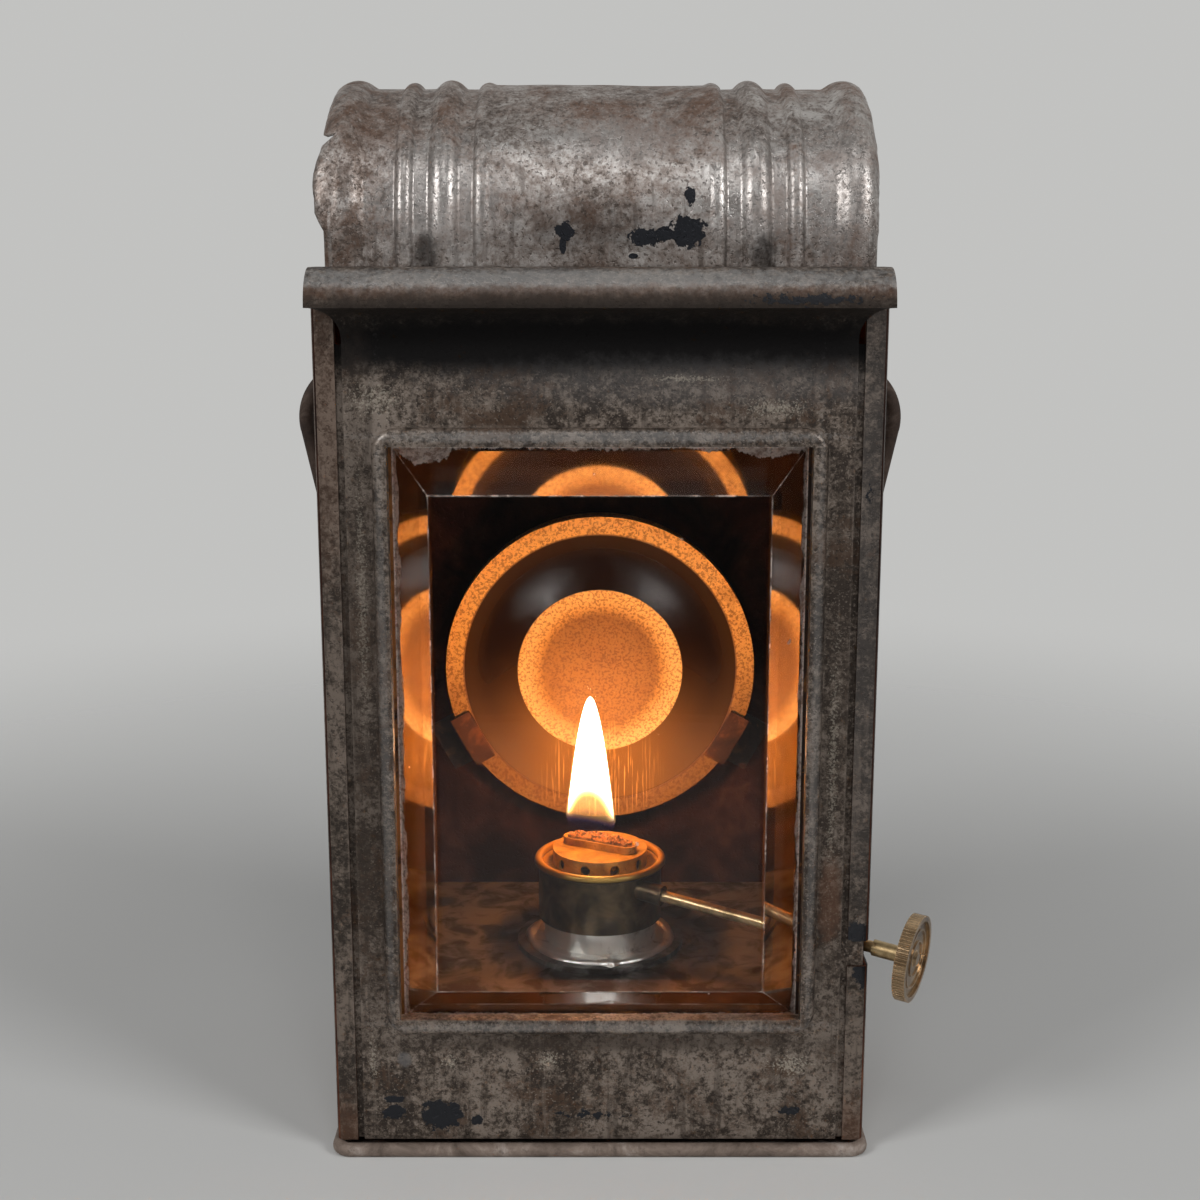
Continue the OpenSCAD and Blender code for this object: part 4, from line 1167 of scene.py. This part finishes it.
@dataclass
class FrontSlide:
    """Pressed front with its finger lip, and the framed pane behind its window."""

    def dress(self) -> None:
        """Gives the slide's nodes their finishes."""
        panel = AgedTin(
            "stained_tin_front",
            pale=(0.245, 0.200, 0.166),
            middle=(0.108, 0.083, 0.065),
            dark=(0.036, 0.026, 0.020),
            speckle=0.8,
            contrast=1.6,
            rust=(0.095, 0.056, 0.036),
            rust_from=0.51,
            worn=0.6,
            patches=(
                # The lip's top is rubbed bright, partly as painted highlight; the dirt under its nose and the
                # soot in the cove below stand in as painted shade of the lip.
                Patch(Stain.RUBBED_AND_HIGHLIT, (-4.0, -43.0, 179.7), (62.0, 4.0, 2.6), 1.2, 0.6, 0.5, 700.0),
                Patch(Stain.RUST, (0.0, -45.0, 177.2), (90.0, 3.0, 1.4), 1.2, 0.6, 0.45, 500.0),
                Patch(Stain.GRIME_AND_SHADE, (0.0, -43.0, 174.6), (90.0, 6.0, 3.3), 0.5, 0.5, 0.92),
                Patch(Stain.SOOT_AND_SHADE, (0.0, -39.0, 167.6), (90.0, 30.0, 6.0), 0.25, 0.42, 1.0),
                Patch(Stain.FLAKE, (40.0, -44.6, 176.0), (13.0, 3.0, 1.5), 1.9, 0.05, 1.0, 800.0, 0.45),
                Patch(Stain.GRIME_AND_SHADE, (-47.0, -38.0, 95.0), (4.0, 6.0, 70.0), 0.5, 0.5, 0.5),
                Patch(Stain.GRIME_AND_SHADE, (47.0, -38.0, 80.0), (3.4, 6.0, 60.0), 0.5, 0.5, 0.35),
                Patch(Stain.RUST, (46.5, -38.0, 56.0), (2.2, 6.0, 9.0), 0.9, 0.4, 0.45),
                # Painted shade on the underside of the lip.
                Patch(Stain.SOOT_AND_SHADE, (0.0, -43.0, 174.0), (90.0, 6.0, 2.6), 0.5, 0.5, 0.35),
                Patch(Stain.BLOOM, (20.0, -38.0, 160.0), (40.0, 6.0, 4.0), 0.8, 0.7, 0.35),
                Patch(Stain.BLOOM, (-40.5, -38.0, 20.8), (1.4, 6.0, 1.6), 0.6, 0.3, 0.7),
                # Painted shade: a dark band just under the window's bead.
                Patch(Stain.GRIME_AND_SHADE, (0.0, -38.0, 24.4), (44.0, 6.0, 1.8), 0.5, 0.7, 0.7, 500.0),
                *self.rubbed_and_highlit_border(),
                *self.crusts(),
                Patch(Stain.FLAKE, (-2.0, -38.0, 8.4), (14.0, 3.0, 1.8), 2.0, 0.04, grain=420.0, sparse=0.75),
                *self.flakes(),
            ),
        )
        dress(["front_panel"], panel)
        frame_tin = Smoked(
            "rusty_frame",
            dark=(0.010, 0.005, 0.004),
            brown=(0.042, 0.019, 0.010),
            rust=(0.42, 0.18, 0.055),
            rusty_left_of=-36.0 * MM,
        )
        dress(["glass_frame"], frame_tin)
        low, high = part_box("glass_pane")
        dress(["glass_pane"], GroundGlass("ground_glass", high.x, low.z, high.z, high.y))

    @staticmethod
    def flakes() -> tuple[Patch, ...]:
        """Scatters black flakes along the foot.

        Returns:
            Patches from rows of middle X and Z, half width and height, and raggedness.
        """
        places = (
            (-32.9, 8.4, 4.6, 2.9, 1.1),
            (-42.6, 8.9, 2.6, 1.6, 1.2),
            (-42.4, 11.8, 2.2, 0.8, 1.3),
            (-25.6, 7.0, 1.2, 1.2, 1.0),
            (39.5, 9.3, 2.0, 0.9, 1.3),
        )
        return tuple(
            Patch(Stain.FLAKE, (x, -38.0, z), (wide, 3.0, tall), ragged, 0.04, grain=650.0)
            for x, z, wide, tall, ragged in places
        )

    @staticmethod
    def rubbed_and_highlit_border() -> tuple[Patch, ...]:
        """Rubs the bead round the window bright, with painted highlights that are strongest along its top.

        Returns:
            Patches from rows of middle X and Z, half width and height, and share.
        """
        places = (
            (0.0, 150.0, 46.0, 1.0, 0.28),
            (-42.6, 90.0, 0.9, 58.0, 0.16),
            (42.6, 90.0, 0.9, 58.0, 0.16),
            (0.0, 28.6, 46.0, 0.9, 0.22),
        )
        return tuple(
            Patch(Stain.RUBBED_AND_HIGHLIT, (x, -40.0, z), (wide, 3.0, tall), 1.1, 0.5, share, 1500.0)
            for x, z, wide, tall, share in places
        )

    @staticmethod
    def crusts() -> tuple[Patch, ...]:
        """Scatters pale crust over the panel.

        Returns:
            Patches from rows of middle X and Z, half width and height, and share.
        """
        places = (
            (33.0, 155.4, 9.5, 2.4, 0.5),
            (17.0, 161.0, 11.0, 1.0, 0.45),
            (-43.0, 157.0, 6.5, 4.4, 0.45),
            (-47.0, 20.0, 1.4, 8.0, 0.45),
            (-31.2, 20.4, 2.6, 2.0, 0.65),
            (-10.8, 20.6, 3.4, 2.8, 0.65),
            (39.0, 19.6, 6.0, 3.4, 0.6),
            (-46.5, 118.0, 1.6, 36.0, 0.25),
            (46.5, 86.0, 1.4, 40.0, 0.3),
        )
        return tuple(
            Patch(Stain.CRUST, (x, -39.0, z), (wide, 6.0, tall), 2.4, 0.25, share, 2100.0, 0.75)
            for x, z, wide, tall, share in places
        )


@dataclass
class Lamp:
    """Reflector, fount, burner, wick and flame."""

    reflector_rim: float = 4.3 * MM
    reflector_mid: float = 19.4 * MM
    flame_h: float = 27.7 * MM
    flame_gap: float = 3.5 * MM
    flame_half_w: float = 6.1 * MM
    flame_half_t: float = 2.3 * MM
    flame_taper: float = 0.56
    flame_lean: float = -2.1 * MM
    light_colour: Rgb = (1.0, 0.32, 0.045)
    light_power: float = 0.3
    wick_half_w: float = 8.0 * MM
    wick_half_t: float = 1.4 * MM
    wick_turn: float = -27.13
    drip_angle: float = 4.85
    solder_w: float = 1.3 * MM
    solder_h: float = 0.75 * MM

    def dress(self) -> None:
        """Gives the lamp's nodes their finishes."""
        low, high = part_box("reflector")
        radius = (high.x - low.x) / 2
        tin = PressedTin(
            "reflector_tin",
            centre_z=(low.z + high.z) / 2,
            middle_r=self.reflector_mid,
            rim_r=radius - self.reflector_rim,
        )
        dress(["reflector"], tin)
        fount = BrightTin(
            "fount_tin",
            bright=(0.27, 0.262, 0.256),
            dull=(0.070, 0.060, 0.054),
            rust=(0.055, 0.028, 0.016),
            dull_from=0.50,
        )
        dress(["fount_top"], fount)
        dress(["fount_collar"], BrightTin("collar_tin", bright=(0.74, 0.73, 0.70), dull_from=0.64))
        brass = OldBrass(
            "burner_brass",
            bright=(0.20, 0.135, 0.07),
            middle=(0.088, 0.060, 0.034),
            tarnish=(0.020, 0.013, 0.009),
            # The drum's top edge gets the painted flame light.
            glow_above=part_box("burner_drum")[1].z - 1.2 * MM,
        )
        dress(["burner_plug", "burner_drum", "spindle_bush"], brass)
        # Painted flame light: a brighter, more orange copy of the burner brass for the cap and the wick tube.
        lit = OldBrass(
            "flame_lit_burner_brass",
            bright=(0.60, 0.36, 0.075),
            middle=(0.32, 0.18, 0.032),
            tarnish=(0.09, 0.042, 0.012),
            tarnished=0.46,
            metallic=0.3,
        )
        dress(["burner_cap", "wick_tube"], lit)

    def build(self) -> None:
        """Builds the wick, the flame and the solder."""
        self.build_wick()
        self.build_flame()
        self.build_solder()

    def build_wick(self) -> None:
        """Builds the woven wick with its ragged charred top, and stands it for the CAD wick."""
        low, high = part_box("wick")
        centre = (low + high) / 2
        around, levels, crown = 128, 60, 22
        frayed, drawn_in = 0.94, 0.95
        points: list[Triple] = []
        for level in range(levels + crown):
            share = min(1.0, level / (levels - 1))
            over = max(0.0, (level - levels + 1) / crown)
            for step in range(around):
                angle = 2 * math.pi * step / around
                u = self.wick_half_w * math.copysign(abs(math.cos(angle)) ** 0.5, math.cos(angle))
                v = self.wick_half_t * math.copysign(abs(math.sin(angle)) ** 0.7, math.sin(angle))
                z = low.z + share * (high.z - low.z)
                ripple = 1.0 + 0.035 * math.sin(u / MM * 9.0) * math.sin(z / MM * 6.0)
                v *= ripple * 0.96 * (1.0 - drawn_in * over)
                u *= 0.99 * (1.0 - drawn_in * over)
                if share > frayed:
                    z += MM * (0.6 * wander(u, v, 0.0, 700.0) - 1.4) * (share - frayed) / (1.0 - frayed)
                if over > 0:
                    crumb = 0.9 + 0.8 * wander(u, v, 4.0, 900.0) + 0.5 * wander(u, v, 1.0, 2300.0)
                    z += MM * crumb * min(1.0, 3.0 * over)
                points.append((*self.turned(centre, u, v), z))
        faces = grid_faces(levels + crown, around, ring=True)
        for first, top in ((0, False), ((levels + crown - 1) * around, True)):
            loop = [first + i for i in range(around)]
            faces.append(tuple(loop if top else reversed(loop)))
        cotton = WovenCotton("charred_cotton", high.z)
        wick = add_piece("woven_wick", points, faces, cotton, "wick")
        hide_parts("wick")

    def turned(self, centre: Vector, along: float, across: float) -> tuple[float, float]:
        """Turns a place on the flat wick's section into the frame of the model.

        Args:
            centre: Middle of the section.
            along: Distance along the wick's width.
            across: Distance through its thickness.

        Returns:
            X and Y of the place.
        """
        turn = math.radians(self.wick_turn)
        return (
            centre.x + along * math.cos(turn) - across * math.sin(turn),
            centre.y + along * math.sin(turn) + across * math.cos(turn),
        )

    def flame_shell(self, name: str, share: float, low_z: float, glow: FlameGlow) -> bpy.types.Object:
        """Adds one skin of the flame.

        Args:
            name: Name of the piece.
            share: Width as a share of the whole flame.
            low_z: Height of its foot.
            glow: Its light.

        Returns:
            The new piece.
        """
        foot = self.flame_foot()
        high_z = foot.z + self.flame_h * (0.97 + 0.03 * share)
        around, levels = 40, 48
        points: list[Triple] = []
        for level in range(levels):
            t = level / (levels - 1)
            z = low_z + t * (high_z - low_z)
            above = max(0.0, (z - foot.z) / (high_z - foot.z))
            taper = max(0.0, 1.0 - above) ** self.flame_taper
            taper *= 1.0 - 0.16 * max(0.0, (foot.z - z) / self.flame_gap)
            for step in range(around):
                angle = 2 * math.pi * step / around
                u = self.flame_half_w * share * taper * math.cos(angle)
                v = self.flame_half_t * share * taper * math.sin(angle)
                points.append((*self.turned(foot, u, v), z))
        faces = grid_faces(levels, around, ring=True)
        piece = add_piece(name, points, faces, glow, "wick")
        piece.visible_shadow = False
        return piece

    def flame_foot(self) -> Vector:
        """Finds the middle of the flame where it begins to shine.

        Returns:
            The point.
        """
        low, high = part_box("wick")
        return Vector((
            (low.x + high.x) / 2 + self.flame_lean,
            (low.y + high.y) / 2,
            high.z + self.flame_gap,
        ))

    def build_flame(self) -> None:
        """Builds the flame's hot core, its outer veil, and the light that it gives."""
        foot = self.flame_foot()
        hollow = (foot.x / MM, foot.y / MM, foot.z / MM - 0.5)
        core = FlameGlow(
            "flame_core",
            hollow,
            (4.6, 9.0, 7.0),
            (
                (0.0, (1.0, 0.36, 0.06)),
                (0.10, (1.0, 0.62, 0.22)),
                (0.24, (1.0, 0.92, 0.70)),
                (1.0, (1.0, 0.95, 0.80)),
            ),
            power=6.0,
            cover=1.0,
            inside=0.03,
            foot_z=foot.z - 0.5 * MM,
            fade=4.5 * MM,
        )
        veil = FlameGlow(
            "flame_veil",
            (hollow[0], hollow[1], hollow[2] - 2.5),
            (7.0, 9.0, 3.2),
            (
                (0.0, (0.09, 0.08, 0.34)),
                (0.16, (0.55, 0.22, 0.16)),
                (0.4, (1.0, 0.60, 0.16)),
                (1.0, (1.0, 0.72, 0.28)),
            ),
            power=0.8,
            cover=0.30,
            inside=0.022,
            foot_z=foot.z - self.flame_gap,
            fade=2.0 * MM,
        )
        self.flame_shell("flame_core", 0.94, foot.z, core)
        outer = self.flame_shell("flame_veil", 1.0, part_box("wick")[1].z + 0.2 * MM, veil)
        lamp = bpy.data.lights.new("flame_light", "POINT")
        lamp.color = self.light_colour
        lamp.energy = self.light_power
        lamp.shadow_soft_size = 3.0 * MM
        glow = bpy.data.objects.new("flame_light", lamp)
        bpy.context.scene.collection.objects.link(glow)
        glow.location = (foot.x, foot.y, foot.z + 0.5 * self.flame_h)
        glow.visible_glossy = False
        glow.parent = outer

    def build_solder(self) -> None:
        """Builds the lumpy solder seam where the collar meets the fount."""
        low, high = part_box("fount_collar")
        axis_y = (low.y + high.y) / 2
        ring_r = (high.x - low.x) / 2
        around, section = 96, 10
        points: list[Triple] = []
        for place in range(section):
            slope = math.pi * place / (section - 1)
            for step in range(around):
                angle = 2 * math.pi * step / around
                lump = 1.0 + 0.45 * wander(math.cos(angle), math.sin(angle), 0.2, 2.6)
                lump += 0.25 * wander(math.cos(angle), math.sin(angle), 3.0, 7.0)
                lump += 1.1 * math.exp(-(((angle - self.drip_angle) / 0.07) ** 2))
                r = ring_r - 0.2 * MM + self.solder_w * lump * math.cos(slope)
                z = low.z + 0.05 * MM + self.solder_h * lump * math.sin(slope)
                points.append((r * math.cos(angle), axis_y + r * math.sin(angle), z))
        faces = grid_faces(section, around, ring=True)
        solder = BrightTin("solder", bright=(0.82, 0.81, 0.78), dull_from=0.70)
        add_piece("collar_solder", points, faces, solder, "body")


@dataclass
class Winder:
    """Spindle, spur wheels and knurled knob."""

    def dress(self) -> None:
        """Gives the winder's nodes their finishes."""
        rod = OldBrass("spindle_brass", bright=(0.62, 0.46, 0.25), tarnished=0.40, smooth=0.2)
        dress(["spindle", "spur_wheels"], rod)
        knob = OldBrass(
            "knob_brass",
            bright=(0.66, 0.47, 0.28),
            middle=(0.27, 0.18, 0.10),
            tarnish=(0.10, 0.064, 0.036),
            tarnished=0.46,
            smooth=0.14,
            rough=0.34,
        )
        dress(["knob", "knob_rivet"], knob)


@dataclass
class Handles:
    """Folding wire handles on the back."""

    def dress(self) -> None:
        """Gives the handles their rust."""
        wire = RustedIron("rusted_wire", dark=(0.016, 0.010, 0.008), brown=(0.055, 0.033, 0.023))
        dress(["handle_left", "handle_right"], wire)


@dataclass
class Studio:
    """Pale floor, soft lamps and the camera."""

    wall_colour: Rgb = (0.54, 0.54, 0.53)
    floor_colour: Rgb = (0.63, 0.63, 0.62)
    floor_r: float = 0.9
    floor_fade: float = 0.12
    sky_light: float = 0.12
    backdrop_y: tuple[float, float] = (-0.55, 0.45)
    front_share: float = 0.10
    lamp_turn: float = 55.0
    lamp_rise: float = 31.0
    lamp_far: float = 1.6
    lamp_size: float = 0.55
    lamp_power: float = 9.5
    top_rise: float = 53.0
    top_size: float = 0.7
    top_power: float = 4.2
    fill_turn: float = 15.5
    fill_rise: float = 4.0
    fill_far: float = 1.2
    fill_size: float = 0.16
    fill_power: float = 0.9
    aim: Triple = (0.0, 0.0, 0.12)
    camera_place: Triple = (0.0, -0.364, 0.1845)
    camera_tilt: float = 11.54
    lens_mm: float = 51.0
    sensor_mm: float = 36.0

    def build(self) -> None:
        """Builds the floor, the world, the lamps and the camera."""
        self.build_floor()
        self.build_world()
        softbox = (self.lamp_rise, self.lamp_far, self.lamp_size, self.lamp_power)
        fill = (self.fill_rise, self.fill_far, self.fill_size, self.fill_power)
        for side, name in ((-1, "left"), (1, "right")):
            self.build_lamp(name + "_softbox", side * self.lamp_turn, *softbox)
            self.build_lamp(name + "_fill", side * self.fill_turn, *fill)
        self.build_lamp("top_softbox", 0.0, self.top_rise, self.lamp_far, self.top_size, self.top_power)
        self.build_camera()
        bpy.context.scene.view_settings.view_transform = "Standard"

    def build_floor(self) -> None:
        """Builds the plain round floor, which fades out into the backdrop."""
        steps = 96
        angles = [2 * math.pi * i / steps for i in range(steps)]
        points = [(self.floor_r * math.cos(a), self.floor_r * math.sin(a), 0.0) for a in angles]
        mesh = bpy.data.meshes.new("floor")
        mesh.from_pydata(points, [], [tuple(range(steps))])
        recipe = Recipe("pale_floor")
        cloud = recipe.band(recipe.noise(3.0, 3.0), 0.3, 0.7)
        soft = recipe.mix(cloud, self.floor_colour, tuple(0.97 * c for c in self.floor_colour))
        solid = recipe.node("ShaderNodeBsdfPrincipled", {"Base Color": soft, "Roughness": 0.9}).outputs[0]
        clear = recipe.node("ShaderNodeBsdfTransparent").outputs[0]
        away = recipe.reach((0.0, 0.0, 0.0), (1.0 / MM, 1.0 / MM, 1.0 / MM))
        fade = recipe.band(away, self.floor_fade, 0.6 * self.floor_r)
        both = recipe.node("ShaderNodeMixShader", {0: fade, 1: solid, 2: clear})
        mesh.materials.append(recipe.ends_in(both))
        floor = bpy.data.objects.new("floor", mesh)
        bpy.context.scene.collection.objects.link(floor)

    def build_world(self) -> None:
        """Builds dim light from all round, and a pale backdrop that the eye, metal and glass see."""
        recipe = Recipe("studio", world=True)
        path = recipe.node("ShaderNodeLightPath").outputs
        eye = path["Is Camera Ray"]
        seen = recipe.math("MAXIMUM", eye, path["Is Glossy Ray"])
        seen = recipe.math("MAXIMUM", seen, path["Is Transmission Ray"])
        behind = recipe.band(recipe.axis("Y"), *self.backdrop_y, 1.0 - self.front_share)
        strength = recipe.math("MAXIMUM", eye, recipe.math("ADD", behind, self.front_share))
        light = recipe.node("ShaderNodeBackground", {"Color": (1.0, 1.0, 1.0), "Strength": self.sky_light})
        shown = recipe.node("ShaderNodeBackground", {"Color": self.wall_colour, "Strength": strength})
        both = {0: seen, 1: light.outputs[0], 2: shown.outputs[0]}
        bpy.context.scene.world = recipe.ends_in(recipe.node("ShaderNodeMixShader", both))

    def build_lamp(self, name: str, turn: float, rise: float, far: float, size: float, power: float) -> None:
        """Adds a soft square lamp that points at the lantern.

        Args:
            name: Name of the lamp.
            turn: Degrees round from the front, negative to the left.
            rise: Degrees above the level.
            far: Distance from the lantern.
            size: Width and height.
            power: Watts.
        """
        data = bpy.data.lights.new(name, "AREA")
        data.size = size
        data.energy = power
        lamp = bpy.data.objects.new(name, data)
        flat = far * math.cos(math.radians(rise))
        away = Vector((
            flat * math.sin(math.radians(turn)),
            -flat * math.cos(math.radians(turn)),
            far * math.sin(math.radians(rise)),
        ))
        lamp.location = Vector(self.aim) + away
        lamp.rotation_euler = (-away).to_track_quat("-Z", "Y").to_euler()
        bpy.context.scene.collection.objects.link(lamp)

    def build_camera(self) -> None:
        """Adds the camera at the photograph's height, distance and tilt."""
        data = bpy.data.cameras.new("camera")
        data.lens = self.lens_mm
        data.sensor_width = self.sensor_mm
        data.clip_start = 0.01
        camera = bpy.data.objects.new("camera", data)
        camera.location = self.camera_place
        camera.rotation_euler = (math.radians(90.0 - self.camera_tilt), 0.0, 0.0)
        bpy.context.scene.collection.objects.link(camera)
        bpy.context.scene.camera = camera


def write_sizes() -> None:
    """Updates the view layer."""
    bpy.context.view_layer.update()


def main() -> None:
    """Builds and dresses the lantern, then sets it in the studio."""
    logging.basicConfig(level=logging.INFO, format="%(name)s: %(message)s")
    lamp = Lamp()
    steps: tuple[Callable[[], None], ...] = (
        Studio().build,
        Body().dress,
        Hood().build,
        FrontSlide().dress,
        lamp.dress,
        lamp.build,
        Winder().dress,
        Handles().dress,
        write_sizes,
    )
    for step in steps:
        step()


if __name__ == "__main__":
    main()
